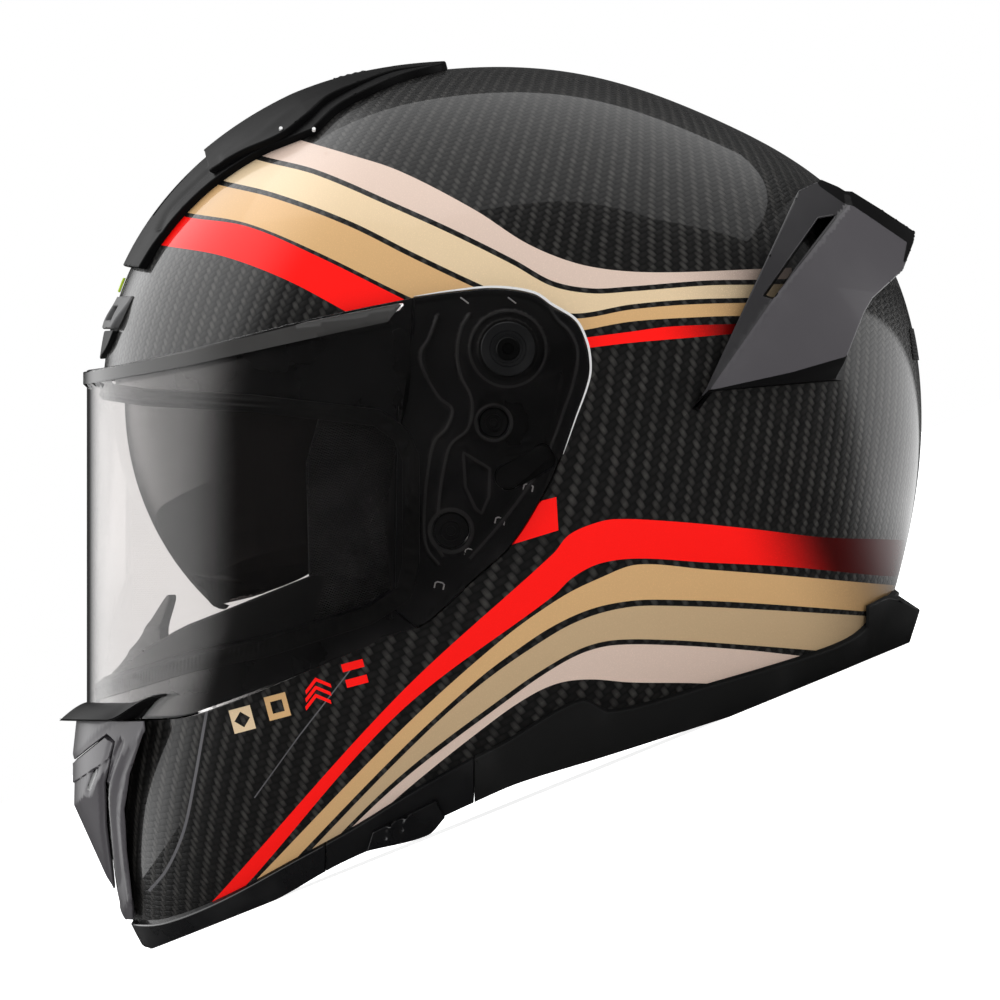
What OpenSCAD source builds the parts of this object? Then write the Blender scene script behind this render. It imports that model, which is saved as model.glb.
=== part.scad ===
// Full face racing helmet, in millimetres.
// It stands on its rim: +Z is up, the face looks along -Y and the wearer's left is +X.
// The shapes are drawn in a worn frame, with the visor level and its pivot axis as
// the origin, and worn() then tips them back so that the rim lies on the ground.

/* [Shell] */
// Width of the shell across the visor pivots
shell_w = 254; // [240:2:266]
// Length of the shell, brow to back, at the height of the visor pivots
shell_len = 288; // [270:2:306]
// Thickness of the carbon shell
shell_wall = 3; // [2.6:0.1:3.4]
// Thickness of the energy absorbing foam
foam_wall = 34; // [28:1:38]
// Thickness of the crown lining
crown_pad_wall = 8; // [5:0.5:10]
// Thickness of a cheek pad, from the shell inwards
cheek_pad_wall = 44; // [36:1:48]

/* [Visor] */
// How far the flat front of the visor stands ahead of the shell's brow
visor_stand = 7; // [6.5:0.5:9.5]
// Thickness of the clear visor
visor_wall = 2.2; // [1.8:0.1:2.6]
// Gap between the shell and the inside of the visor at the pivots
visor_gap = 1; // [0.9:0.1:1.4]
// Height of the raised rib along the visor's top edge
visor_rib_h = 1.6; // [0.8:0.1:2]
// How far the tab at the visor's lower edge stands out
visor_tab_reach = 13; // [8:1:14]
// Width of that tab
visor_tab_w = 150; // [120:5:160]

/* [Pivots] */
// Radius of the hub that a visor arm turns on
hub_r = 8; // [7:0.5:9]
// Radius of the hub's cap, outside the visor
hub_cap_r = 9.6; // [9.4:0.2:11]
// Radius of the head of a hub screw
hub_screw_r = 4.2; // [3.5:0.1:5]
// Radius of the hub screw's shank
shank_r = 2.4; // [2:0.1:2.8]
// Radius of the upper screw of a side plate
upper_screw_r = 5; // [4:0.5:6]
// Radius of the lower screw of a side plate
lower_screw_r = 6; // [5:0.5:7]
// Radius of the pin that a release lever turns on
lever_pin_r = 2; // [1.5:0.1:2.5]

/* [Side plates] */
// Depth of the recess in the shell that a side plate lies in
plate_recess = 2; // [1.6:0.1:2.1]
// How far a side plate stands proud of the shell
plate_rise = 0.2; // [0.1:0.05:0.3]
// Width of the eyeport gasket on the shell's face
gasket_lip = 6; // [5:0.5:6.5]
// Height of the gasket over the shell
gasket_rise = 0.8; // [0.6:0.1:0.9]
// Width of the gasket inside the opening
gasket_w = 4; // [3:0.5:4.5]

/* [Sun visor] */
// Gap between the inside of the shell and the front of the sun visor
sun_clear = 3.5; // [3:0.5:6]
// Distance from the shell's outer face to a sun visor arm, at the visor pivots
sun_inset = 21; // [20:0.5:24]
// Thickness of the sun visor
sun_wall = 1.8; // [1.5:0.1:2.2]
// Radius of a sun visor pin
sun_pin_r = 3; // [2.5:0.1:3.5]
// Height of the thumb lever's back over the rim trim
sun_lever_rise = 4; // [3:0.5:5]

/* [Vents] */
// Height of the crown vent over the shell
crown_vent_rise = 5.5; // [5:0.5:8]
// Height of the chin vent over the shell
chin_vent_rise = 15; // [13:0.5:16]
// Height of the brow vent over the shell
brow_rise = 3; // [2.6:0.1:3.2]
// Height of the rear spoiler over the shell
spoiler_rise = 7; // [5:0.5:8]
// Thickness of the vent covers
cover_wall = 2.4; // [2:0.1:3]

/* [Rim] */
// Height of the rim trim over the shell
trim_rise = 2; // [1.5:0.1:2.5]
// Height of the strip below the shell's edge
trim_lip = 4; // [3:0.5:5]
// How far the neck skirt flares at the back
skirt_flare = 9; // [6:0.5:10]

/* [Lining] */
// Thickness of the foam in the chin bar
chin_foam_wall = 28; // [22:1:32]
// Thickness of the neck roll
neck_roll_wall = 24; // [18:1:28]

/* [Strap] */
// Width of the chin strap
strap_w = 24; // [20:1:28]
// Thickness of the chin strap
strap_t = 2; // [1.6:0.1:2.4]

/* [Fit] */
// Gap between neighbouring pieces
gap = 0.3; // [0.2:0.05:0.4]
// Radial play of a turning fit
run_fit = 0.05; // [0.03:0.01:0.08]

/* [Hidden] */

// Side view outlines are drawn in millimetres for a shell of this length
DRAWN_LEN = 288;
k = shell_len / DRAWN_LEN;
half_w = shell_w / 2;
// How far the helmet tips back when it stands on its rim, and the height of its pivots
worn_tilt = 22;
rest_h = 149.6 * k;
// Distance from the middle of the helmet's length back to the pivots, when it stands
rest_y = 27.64 * k;
// Gap round the lining, which is drawn with longer facets
pad_gap = 3 * gap;
// Reach of cutting tools that run past the whole helmet
FAR = 400;

// Centre line radius of the shell about the pivots, every 15 degrees, from the brow up
// over the crown, down the back and round under the chin
SHELL_RADII = [143, 136, 126, 116, 108, 102, 100, 101, 104, 111, 125, 139,
    145, 151, 159, 174, 196, 228, 261, 264, 257, 204, 160, 147];
STEP_ANGLE = 15;
// Roundness of a cross-section, across and along the shell
ROUND_Y = 2.2;
ROUND_X = 2.1;

// Eyeport, inner edge of its gasket
EYEPORT = [[-175, -16], [-146, -17], [-127, -20], [-90, -22], [-47, -27], [-40, -32], [-37, -39],
    [-37, -75], [-39, -84], [-50, -91], [-85, -102], [-113, -108], [-146, -118], [-175, -128]];
// Rear edge of the visor, from its top edge round the pivot to its lower edge
ARM = [[-33, 18], [-18, 20], [-4, 21], [9, 19], [15, 15], [23, 10], [26, 5], [28, -2], [28, -10],
    [23, -25], [19, -37], [13, -50], [1, -69], [-13, -82], [-27, -95], [-32, -98]];
VISOR = concat([[-175, -6], [-149, -7], [-113, 0], [-72, 10]], ARM,
    [[-45, -102], [-50, -105], [-110, -129], [-127, -131], [-175, -131]]);
VISOR_RIB = [[-175, -7], [-148, -7], [-113, 0], [-72, 10], [-33, 18], [-40, 10], [-67, 4],
    [-113, -6], [-148, -12], [-175, -13]];
VISOR_TAB = [[-162, -131], [-149, -125], [-128, -125], [-108, -127], [-108, -129], [-127, -131]];
// Lower edge of the rim, and upper edge of its trim
RIM = [[-175, -232], [-124, -211], [-109, -206], [-81, -193], [-60, -181], [-38, -171],
    [-10, -158], [4, -152], [33, -143], [61, -134], [89, -125], [118, -116], [175, -95]];
TRIM_TOP = [[-175, -222], [-132, -207], [-122, -203], [-102, -194], [-74, -179], [-54, -168],
    [-33, -155], [-15, -145], [-3, -139], [26, -123], [36, -127], [70, -118], [110, -106],
    [123, -100], [133, -89], [137, -85], [175, -75]];
// Ends of the trim's pieces along the rim: chin strip, side strip and neck skirt
CHIN_TRIM_END = -64;
SIDE_TRIM_END = -12;
// Lip along the back of the neck skirt
SKIRT_LIP = [[126, -90], [136, -86], [141, -89], [144, -95], [144, -98], [139, -104], [126, -112]];
// Split between the crown foam and the pads and foam below it
FOAM_EDGE = [[-175, -9], [-100, -11], [-44, -19], [-30, -40], [-30, -66], [48, -66], [60, -84],
    [175, -84]];
CROWN_PAD = [[-175, 8], [-100, 8], [-60, 0], [-26, -6], [-20, -40], [40, -60], [60, -76],
    [175, -76], [175, 200], [-175, 200]];
CHEEK_PAD = [[-64, -78], [-65, -46], [-58, -39], [-38, -39], [-34, -44], [-34, -70], [46, -70], [57, -88], [57, -118], [33, -131], [4, -138],
    [-38, -156], [-66, -170], [-72, -112]];
// Wing of the cheek pad, which fills the rear of the eyeport outside the sun visor
TEMPLE = [[-70, -80], [-71, -40], [-66, -22], [-47.5, -22.5], [-35, -43], [-35, -80]];
TEMPLE_WALL = 5;
NECK_ROLL = [[63, -87], [175, -87], [175, -95], [118, -105], [89, -113], [63, -121]];
CHIN_FOAM = [[-175, -131], [-146, -124], [-113, -114], [-85, -108], [-76, -105], [-76, -182],
    [-109, -194], [-124, -198], [-175, -215]];
CHIN_CURTAIN = [[-116, -196.5], [-80, -184], [-80, -185.5], [-116, -198]];
// Space behind the brow that the sun visor turns in
SUN_ROOM = [[-175, -90], [-175, 64], [-104, 64], [-40, 20], [-20, 2], [-16, -20], [-24, -34],
    [-60, -44], [-60, -90]];

// Front edge of a side plate, under the gasket's lip
PLATE_FRONT = [[-40, -92], [-39, -20]];
UPPER_SCREW_AT = [-5, -26];
LOWER_SCREW_AT = [-20, -64];
HUB_CAP_T = 1;
HEAD_T = 1.2;
// Distance from the middle plane to the inside of a hub's cap
cap_x = half_w + visor_gap + visor_wall + gap / 2;

// Release lever: its pin, its hub, and its tip as seen from the pin
LEVER_AT = [0, -45];
LEVER_HUB_R = 4.5;
LEVER_TIP = [13, 9];
LEVER_TIP_R = 3.5;
LEVER_TURN = 12;
LEVER_T = 1.2;

// Sun visor: its pivots, the roundness of its form and its outline when lowered
SUN_AT = [-36, -18];
SUN_ROUND = 2.4;
// Gap between the foam and the inside of the sun visor
SUN_GAP = 2;
SUN_VISOR = [[-175, 4], [-60, 4], [-34, -8], [-27, -14], [-27, -24], [-36, -28], [-62, -30],
    [-70, -38], [-69, -60], [-67, -76], [-85, -86], [-109, -92], [-175, -92]];
NOSE_CUT = [[-18, -120], [-9, -74], [9, -74], [18, -120]];
SUN_LEVER = [[-49, -174.5], [-47, -168], [-25, -157], [-22, -163], [-28, -169]];

// Chin vent: its outline, the profile of its face, and its flap with the air holes behind it
CHIN_VENT = [[-170, -131.8], [-138, -131.8], [-130, -136], [-134, -151], [-136, -163], [-136, -178],
    [-134, -195], [-134, -203], [-170, -203]];
CHIN_FACE = [[-154, -125], [-155.5, -146], [-155, -163], [-152, -171], [-143.5, -191],
    [-136.5, -204], [-134, -215], [0, -215], [0, -125]];
FLAP = [[0, -147], [34, -137], [37, -141], [31, -156], [31, -172], [24, -190], [-24, -190],
    [-31, -172], [-31, -156], [-37, -141], [-34, -137]];
CHIN_HOLE = [[-14, -152], [14, -152], [12, -172], [-12, -172]];
CHIN_MESH = [[-17, -149], [17, -149], [15, -175], [-15, -175]];

// Brow vent, its slots and slider, and the seal over the visor
BROW_VENT = [[-160, 7.5], [-138, 7.5], [-132.5, 19], [-160, 19]];
BROW_SLOT = [[6, 10], [28, 10], [26, 16], [6, 16]];
BROW_SLIDER = [[-160, 20.5], [-134, 20.5], [-131.5, 25.5], [-160, 25.5]];
BROW_SEAL = [[-160, -6], [-146, -6], [-141, 0], [-138, 6.8], [-160, 6.8]];
BROW_SLIDER_W = 10;

// Crown vent: its cover, front lip, intake and slider
CROWN_VENT = [[-108, 54], [-102, 59], [-87, 68], [-74, 74], [-68, 76], [-59, 84], [-50, 89],
    [-37, 95], [-22, 99], [-18, 104], [-24, 130], [-108, 130]];
CROWN_LIP = [[-150, 36], [-128, 28], [-122, 37], [-113, 49], [-106, 56], [-106, 90], [-150, 90]];
CROWN_INTAKE = [[-20, 67], [20, 67], [16, 76], [-16, 76]];
SLIDER = [[-62, 80], [-50, 84], [-50, 120], [-62, 120]];
SLIDER_TRAVEL = 8;
KNOB_RISE = 0.8;
CROWN_SINK = 0.09;
CROWN_LIP_T = 2.2;
SLIDER_W = 12;
CROWN_MESH = [[-98, 40], [-70, 60], [-70, 120], [-98, 120]];
MESH_W = 36;
MESH_T = 1;

// Rear spoiler, the window in it and the exhaust vent below it
SPOILER = [[67, -22], [104, 57], [112, 61], [118, 58.5], [132, 50], [144.5, 42], [144, 38],
    [140, 28], [129, 18], [126, 13], [120, -2], [118, -11], [72, -15]];
SPOILER_SLOT = [[91, 19], [111, 47], [117, 48], [94, 18]];
EXHAUST = [[-26, -4], [26, -4], [22, 8], [-22, 8]];

// Breath guard, from the side and from the front
BREATH_GUARD = [[-122, -87], [-120, -88], [-135, -120], [-139, -120.5], [-138, -112]];
BREATH_FRONT = [[-28, -125], [-15, -86], [15, -86], [28, -125]];

// Depth of the chin strap's upper end inside the shell's face, at its rivet
STRAP_INSET = 6;
// Chin strap from there down: distance further in, and height
STRAP = [[0, -82], [3, -110], [11, -136], [23, -147], [45, -151]];
BUCKLE_AT = -152;
STRAP_Y = -18;
RIVET_AT = [-18, -88];
RIVET_R = 5;
BUCKLE_L = 36;
BUCKLE_H = 6;
BUCKLE_SLOT = 8;

/* Frames and outlines */

module worn() translate([0, rest_y, rest_h]) rotate([-worn_tilt, 0, 0]) children();

// Prism of a side view outline, between two distances from the middle plane
module side(points, x0 = -FAR, x1 = FAR)
    rotate([90, 0, 90]) translate([0, 0, x0]) linear_extrude(x1 - x0) polygon(k * points);

// The same with the outline grown by a margin, in millimetres at any size
module side_grown(points, margin, x0 = -FAR, x1 = FAR)
    rotate([90, 0, 90]) translate([0, 0, x0]) linear_extrude(x1 - x0)
        offset(delta = margin) polygon(k * points);

// Prism of a front view outline of widths and heights, between two depths
module front(points, y0 = -FAR, y1 = FAR)
    rotate([90, 0, 0]) translate([0, 0, -y1]) linear_extrude(y1 - y0) polygon(k * points);

module both_sides() {
    children();
    mirror([1, 0, 0]) children();
}

// Round bar across the helmet, from one distance from the middle plane to another
module axle(r, x0, x1, at = [0, 0])
    translate([x0, k * at[0], k * at[1]]) rotate([0, 90, 0]) cylinder(h = x1 - x0, r = r, $fn = 64);

/* Shell surface */

// Smooth closed curve through evenly spaced angles, drawn towards its control radii
function smooth(radii, a) =
    let (t = a / STEP_ANGLE, i = floor(t), f = t - i, n = len(radii),
        p = [for (j = [-1 : 2]) radii[(i + j + 2 * n) % n]])
    (pow(1 - f, 3) * p[0] + (3 * pow(f, 3) - 6 * f * f + 4) * p[1]
        + (1 + 3 * f + 3 * f * f - 3 * pow(f, 3)) * p[2] + pow(f, 3) * p[3]) / 6;

function shell_rad(a) = k * smooth(SHELL_RADII, a);

// The visor's centre line is a straight upright line in front, and a smooth arc below it
function visor_rad(a) =
    let (s = abs(a > 180 ? a - 360 : a), e = s < 45 ? s : 45 + 18 * (1 - exp((45 - s) / 18)))
    (shell_rad(0) + visor_stand) / cos(e);

// Distance from the middle plane of a shell layer, at a place in the side view
function half_x(y, z, d) =
    let (a = (atan2(z, -y) + 360) % 360, q = norm([y, z]) / (shell_rad(a) + d))
    (half_w + d) * pow(1 - pow(q, ROUND_Y), 1 / ROUND_X);

// Closed body whose centre line has the given radius at each angle
module body(radius, w, turns = 60, rings = 9) {
    ring = function (j, sign)
        [for (i = [0 : turns - 1])
            let (a = 360 * i / turns, t = 90 * j / rings, q = pow(sin(t), 2 / ROUND_Y) * radius(a))
            [sign * w * pow(cos(t), 2 / ROUND_X), -q * cos(a), q * sin(a)]];
    left = function (j) 1 + (j - 1) * turns;
    right = function (j) j == rings ? left(rings) : left(rings + j);
    points = concat([[w, 0, 0]], [for (j = [1 : rings]) each ring(j, 1)],
        [for (j = [1 : rings - 1]) each ring(j, -1)], [[-w, 0, 0]]);
    last = len(points) - 1;
    faces = [for (i = [0 : turns - 1]) let (n = (i + 1) % turns)
        each concat(
            [[0, left(1) + i, left(1) + n], [last, right(1) + n, right(1) + i]],
            [for (j = [1 : rings - 1]) each [
                [left(j) + i, left(j + 1) + n, left(j) + n],
                [left(j) + i, left(j + 1) + i, left(j + 1) + n],
                [right(j) + i, right(j) + n, right(j + 1) + n],
                [right(j) + i, right(j + 1) + n, right(j + 1) + i]]])];
    polyhedron(points, faces, convexity = 6);
}

module layer(d) body(function (a) shell_rad(a) + d, half_w + d);

// Sheet between two distances from the shell's outer face
module skin(low, high) difference() {
    layer(high);
    layer(low);
}

module visor_layer(d) body(function (a) visor_rad(a) + d, half_w + visor_gap + visor_wall + d);

/* Shell and foam */

module ground_cut()
    rotate([worn_tilt, 0, 0]) translate([-FAR, -FAR, -rest_h - FAR]) cube([2 * FAR, 2 * FAR, FAR]);

// Everything below a line drawn across the side view, with the line lifted
module below(line, lift = 0)
    side(concat([for (p = line) p + [0, lift / k]], [[175, -FAR], [-175, -FAR]]));

module slab(y0, y1) translate([-FAR, y0, -FAR]) cube([2 * FAR, y1 - y0, 2 * FAR]);

module shell() color([0.09, 0.09, 0.1]) worn() difference() {
    skin(-shell_wall, 0);
    side_grown(EYEPORT, gasket_w + gap);
    below(RIM, trim_lip + gap);
    both_sides() intersection() {
        skin(-plate_recess, 1);
        plate_region(gap);
    }
    front(CHIN_HOLE, -FAR, 0);
}

// Band of the crown that the sun visor sweeps, outside its own inner face
module sun_room() difference() {
    side(SUN_ROOM);
    sun_form(sun_wall + SUN_GAP);
}

module foam_liner() color([0.16, 0.16, 0.17]) worn() difference() {
    intersection() {
        skin(-shell_wall - foam_wall, -shell_wall - gap);
        side(concat(FOAM_EDGE, [[175, FAR], [-175, FAR]]));
    }
    sun_room();
}

module chin_foam() color([0.16, 0.16, 0.17]) worn() intersection() {
    skin(-chin_foam_wall, -shell_wall - gap);
    side(CHIN_FOAM);
}

module crown_pad() color([0.2, 0.2, 0.22]) worn() intersection() {
    pad_skin(shell_wall + foam_wall + pad_gap, crown_pad_wall);
    side(CROWN_PAD);
}

// Lining between two depths, drawn with fewer facets
module pad_skin(depth, wall) difference() {
    body(function (a) shell_rad(a) - depth, half_w - depth, 40, 7);
    body(function (a) shell_rad(a) - depth - wall, half_w - depth - wall, 40, 7);
}

module cheek_pad() difference() {
    union() {
        intersection() {
            pad_skin(shell_wall + pad_gap, cheek_pad_wall);
            side(CHEEK_PAD, 0, FAR);
        }
        intersection() {
            pad_skin(shell_wall + pad_gap, TEMPLE_WALL);
            side(TEMPLE, 0, FAR);
        }
    }
    strap_band(1);
    axle(RIVET_R + 1, strap_x - 5, FAR, RIVET_AT);
}

module cheek_pad_left() color([0.2, 0.2, 0.22]) worn() cheek_pad();
module cheek_pad_right() color([0.2, 0.2, 0.22]) worn() mirror([1, 0, 0]) cheek_pad();

module neck_roll() color([0.18, 0.18, 0.2]) worn() intersection() {
    pad_skin(shell_wall + pad_gap, neck_roll_wall);
    side(NECK_ROLL);
}

module chin_curtain() color([0.15, 0.15, 0.16]) worn() intersection() {
    layer(-shell_wall - 1 - gap);
    side(CHIN_CURTAIN);
}

/* Eyeport and rim */

// Ring round the eyeport between two margins
module eyeport_ring(inner, outer) difference() {
    side_grown(EYEPORT, outer);
    side_grown(EYEPORT, inner);
}

module eyeport_gasket() color([0.06, 0.06, 0.06]) worn() {
    intersection() {
        skin(-shell_wall, gasket_rise);
        eyeport_ring(0, gasket_w);
    }
    intersection() {
        skin(0, gasket_rise);
        eyeport_ring(gasket_w - 1, gasket_lip);
    }
}

// Strip that wraps the shell's lower edge, between two places along the rim
module trim(y0, y1) difference() {
    intersection() {
        union() {
            intersection() {
                skin(0, trim_rise);
                below(TRIM_TOP);
            }
            intersection() {
                skin(-shell_wall - 1, trim_rise);
                below(RIM, trim_lip);
            }
        }
        slab(y0, y1);
    }
    below(RIM);
    ground_cut();
}

module trim_chin() color([0.04, 0.04, 0.04]) worn() trim(-FAR, k * CHIN_TRIM_END);
module trim_side() intersection() {
    trim(k * CHIN_TRIM_END + gap, k * SIDE_TRIM_END);
    translate([0, -FAR, -FAR]) cube(2 * FAR);
}
module trim_left() color([0.05, 0.05, 0.05]) worn() trim_side();
module trim_right() color([0.05, 0.05, 0.05]) worn() mirror([1, 0, 0]) trim_side();

module neck_skirt() color([0.1, 0.1, 0.1]) worn() {
    trim(k * SIDE_TRIM_END + gap, FAR);
    difference() {
        intersection() {
            skin(trim_rise / 2, trim_rise + skirt_flare);
            side(SKIRT_LIP);
        }
        ground_cut();
    }
}

/* Side plates, hubs and visor */

module plate_region(margin) difference() {
    side_grown(concat(ARM, PLATE_FRONT), margin, 0, FAR);
    side_grown(EYEPORT, gasket_lip + gap - margin);
}

// Flat outline of a release lever, about its pin, grown by a margin
module lever_outline(margin, turn = 0) hull() {
    circle(LEVER_HUB_R + margin, $fn = 32);
    rotate(-turn) translate(LEVER_TIP) circle(LEVER_TIP_R + margin, $fn = 32);
}

module lever_prism(x0, x1) translate([x0, k * LEVER_AT[0], k * LEVER_AT[1]])
    rotate([90, 0, 90]) linear_extrude(x1 - x0) children();

module side_plate() difference() {
    intersection() {
        skin(-plate_recess, plate_rise);
        plate_region(0);
    }
    axle(hub_r + gap, 0, FAR);
    axle(upper_screw_r + gap, 0, FAR, UPPER_SCREW_AT);
    axle(lower_screw_r + gap, 0, FAR, LOWER_SCREW_AT);
    lever_prism(0, FAR) union() {
        lever_outline(2 * gap);
        lever_outline(2 * gap, LEVER_TURN);
    }
}
module side_plate_left() color([0.07, 0.07, 0.07]) worn() side_plate();
module side_plate_right() color([0.07, 0.07, 0.07]) worn() mirror([1, 0, 0]) side_plate();

module visor_hub() difference() {
    union() {
        axle(hub_r, half_w - plate_recess, cap_x);
        axle(hub_cap_r, cap_x, cap_x + HUB_CAP_T);
    }
    axle(shank_r + gap, half_w - plate_recess + 1, FAR);
}
module visor_hub_left() color([0.12, 0.12, 0.12]) worn() visor_hub();
module visor_hub_right() color([0.12, 0.12, 0.12]) worn() mirror([1, 0, 0]) visor_hub();

module hub_screws() color([0.5, 0.5, 0.52]) worn() both_sides() difference() {
    union() {
        axle(shank_r, half_w - plate_recess + 1 + gap, cap_x + HUB_CAP_T + gap);
        axle(hub_screw_r, cap_x + HUB_CAP_T, cap_x + HUB_CAP_T + HEAD_T);
    }
    translate([cap_x + HUB_CAP_T + HEAD_T / 2, 0, 0]) rotate([0, 90, 0]) cylinder(h = HEAD_T, r = 2, $fn = 6);
}

// Flat screw head in a side plate, and the pin of the release lever
module plate_screw(r, at) {
    floor_x = half_x(k * at[0], k * at[1], -plate_recess) + 0.8;
    top_x = half_x(k * at[0], k * at[1], plate_rise) - gap;
    difference() {
        axle(r, floor_x, top_x, at);
        translate([top_x - 0.6, k * at[0] - r, k * at[1] - 0.6]) cube([1, 2 * r, 1.2]);
    }
}
lever_floor = half_x(k * LEVER_AT[0], k * LEVER_AT[1], -plate_recess) + gap;
module plate_screws() color([0.45, 0.45, 0.47]) worn() both_sides() {
    plate_screw(upper_screw_r, UPPER_SCREW_AT);
    plate_screw(lower_screw_r, LOWER_SCREW_AT);
    axle(lever_pin_r, lever_floor - gap, lever_floor + LEVER_T + gap, LEVER_AT);
    axle(lever_pin_r + 1.4, lever_floor + LEVER_T + gap, lever_floor + LEVER_T + 2 * gap, LEVER_AT);
}

module release_lever() difference() {
    lever_prism(lever_floor, lever_floor + LEVER_T) lever_outline(0);
    axle(lever_pin_r + run_fit, 0, FAR, LEVER_AT);
}
module release_lever_left() color([0.3, 0.3, 0.3]) worn() release_lever();
module release_lever_right() color([0.3, 0.3, 0.3]) worn() mirror([1, 0, 0]) release_lever();

module visor() color([0.8, 0.8, 0.76, 0.45]) worn() difference() {
    union() {
        intersection() {
            difference() {
                visor_layer(0);
                visor_layer(-visor_wall);
            }
            side(VISOR);
        }
        intersection() {
            difference() {
                visor_layer(visor_rib_h);
                visor_layer(-visor_wall / 2);
            }
            side(VISOR_RIB);
        }
    }
    both_sides() axle(hub_r + run_fit, 0, FAR);
}

module visor_tab() color([0.03, 0.03, 0.03]) worn() intersection() {
    difference() {
        body(function (a) visor_rad(a) + visor_tab_reach, half_w + visor_gap + visor_wall);
        visor_layer(0);
    }
    side(VISOR_TAB, -visor_tab_w / 2, visor_tab_w / 2);
}

/* Sun visor */

// Reach of the sun visor from its pivots, and distance of its arms from the middle plane
sun_r = shell_rad(0) - shell_wall - sun_clear + k * SUN_AT[0];
sun_half = half_w - sun_inset;

// Form turned about the sun visor's pivots, moved in by a depth
module sun_form(depth) translate([0, k * SUN_AT[0], k * SUN_AT[1]]) rotate([0, 90, 0])
    rotate_extrude($fn = 96) polygon(concat([[0, -sun_half + depth]],
        [for (t = [-80 : 10 : 80]) let (c = pow(cos(t), 2 / SUN_ROUND), s = pow(abs(sin(t)), 2 / SUN_ROUND))
            [(sun_r - depth) * c, sign(t) * (sun_half - depth) * s]],
        [[0, sun_half - depth]]));

module sun_visor() color([0.12, 0.12, 0.12, 0.7]) worn() difference() {
    intersection() {
        difference() {
            sun_form(0);
            sun_form(sun_wall);
        }
        side(SUN_VISOR);
    }
    front(NOSE_CUT);
    both_sides() axle(sun_pin_r + run_fit, 0, FAR, SUN_AT);
}

module sun_visor_pins() color([0.4, 0.4, 0.42]) worn() both_sides() intersection() {
    union() {
        axle(sun_pin_r, sun_half - sun_wall - 1, FAR, SUN_AT);
        axle(2 * sun_pin_r, sun_half + gap, FAR, SUN_AT);
    }
    layer(-shell_wall - gap);
}

module sun_visor_lever() color([0.05, 0.05, 0.05]) worn() intersection() {
    skin(trim_rise + 2.5 * gap, trim_rise + sun_lever_rise);
    side(SUN_LEVER, 0, FAR);
}

/* Vents and spoiler */

// Form that the chin vent is cut from, moved in by a depth
module chin_form(depth) intersection() {
    body(function (a) shell_rad(a) + chin_vent_rise - depth, half_w - depth);
    side_grown(CHIN_FACE, -depth);
}

module chin_vent() color([0.04, 0.04, 0.04]) worn() difference() {
    intersection() {
        chin_form(1);
        side(CHIN_VENT);
    }
    layer(0);
    intersection() {
        chin_form(1 + cover_wall);
        side_grown(CHIN_VENT, -cover_wall);
    }
    flap_prism(2 * gap);
}

module flap_prism(margin) translate([0, -100 * k, 0]) rotate([90, 0, 0]) linear_extrude(FAR)
    offset(delta = margin) polygon(k * FLAP);

module chin_vent_flap() color([0.05, 0.05, 0.05]) worn() difference() {
    intersection() {
        chin_form(0);
        flap_prism(0);
    }
    chin_form(cover_wall);
}

module chin_vent_mesh() color([0.2, 0.2, 0.2]) worn() intersection() {
    skin(0, MESH_T);
    front(CHIN_MESH, -FAR, 0);
}

module brow_vent() color([0.35, 0.36, 0.37]) worn() difference() {
    intersection() {
        skin(0, brow_rise);
        side(BROW_VENT);
    }
    both_sides() front(BROW_SLOT, -FAR, 0);
}

module brow_vent_slider() color([0.75, 0.85, 0.2]) worn() intersection() {
    skin(gap, brow_rise - 1);
    side(BROW_SLIDER, -BROW_SLIDER_W / 2, BROW_SLIDER_W / 2);
}

module brow_seal() color([0.05, 0.05, 0.05]) worn() intersection() {
    skin(0, brow_rise - 1);
    side(BROW_SEAL);
}

// Outer form of the crown vent, moved in by a depth; it sinks towards its rear end
module crown_form(depth) body(
    function (a) shell_rad(a) + crown_vent_rise - depth - CROWN_SINK * max(0, min(a, 90) - 50),
    half_w + crown_vent_rise - depth);

module crown_vent() color([0.04, 0.04, 0.04]) worn() difference() {
    union() {
        intersection() {
            crown_form(0);
            side(CROWN_VENT);
        }
        intersection() {
            layer(CROWN_LIP_T);
            side(CROWN_LIP);
        }
    }
    layer(0);
    intersection() {
        crown_form(cover_wall);
        side_grown(CROWN_VENT, -2 * cover_wall);
    }
    front(CROWN_INTAKE, -FAR, -100 * k);
    for (shift = [0, SLIDER_TRAVEL]) translate([0, shift, 0])
        side_grown(SLIDER, gap, -SLIDER_W / 2 - gap, SLIDER_W / 2 + gap);
}

module crown_vent_slider() color([0.1, 0.1, 0.1]) worn() difference() {
    intersection() {
        crown_form(-KNOB_RISE);
        side(SLIDER, -SLIDER_W / 2, SLIDER_W / 2);
    }
    crown_form(cover_wall);
}

module crown_vent_mesh() color([0.2, 0.2, 0.2]) worn() intersection() {
    skin(0, MESH_T);
    side(CROWN_MESH, -MESH_W / 2, MESH_W / 2);
}

module rear_spoiler() color([0.04, 0.04, 0.04]) worn() difference() {
    intersection() {
        body(function (a) shell_rad(a) + 2 * spoiler_rise, half_w + 2);
        side(SPOILER);
    }
    layer(0);
    side(SPOILER_SLOT);
}

module exhaust_mesh() color([0.2, 0.2, 0.2]) worn() intersection() {
    skin(0, MESH_T);
    front(EXHAUST, 0, FAR);
}

module breath_guard() color([0.08, 0.08, 0.08]) worn() intersection() {
    side(BREATH_GUARD);
    front(BREATH_FRONT);
}

/* Chin strap */

// Ribbon outline of even thickness along a path
function ribbon(path, t) = let (n = len(path),
    normal = [for (i = [0 : n - 1])
        let (d = path[min(i + 1, n - 1)] - path[max(i - 1, 0)]) [-d[1], d[0]] / norm(d)])
    concat([for (i = [0 : n - 1]) path[i] + normal[i] * t / 2],
        [for (i = [n - 1 : -1 : 0]) path[i] - normal[i] * t / 2]);

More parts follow.
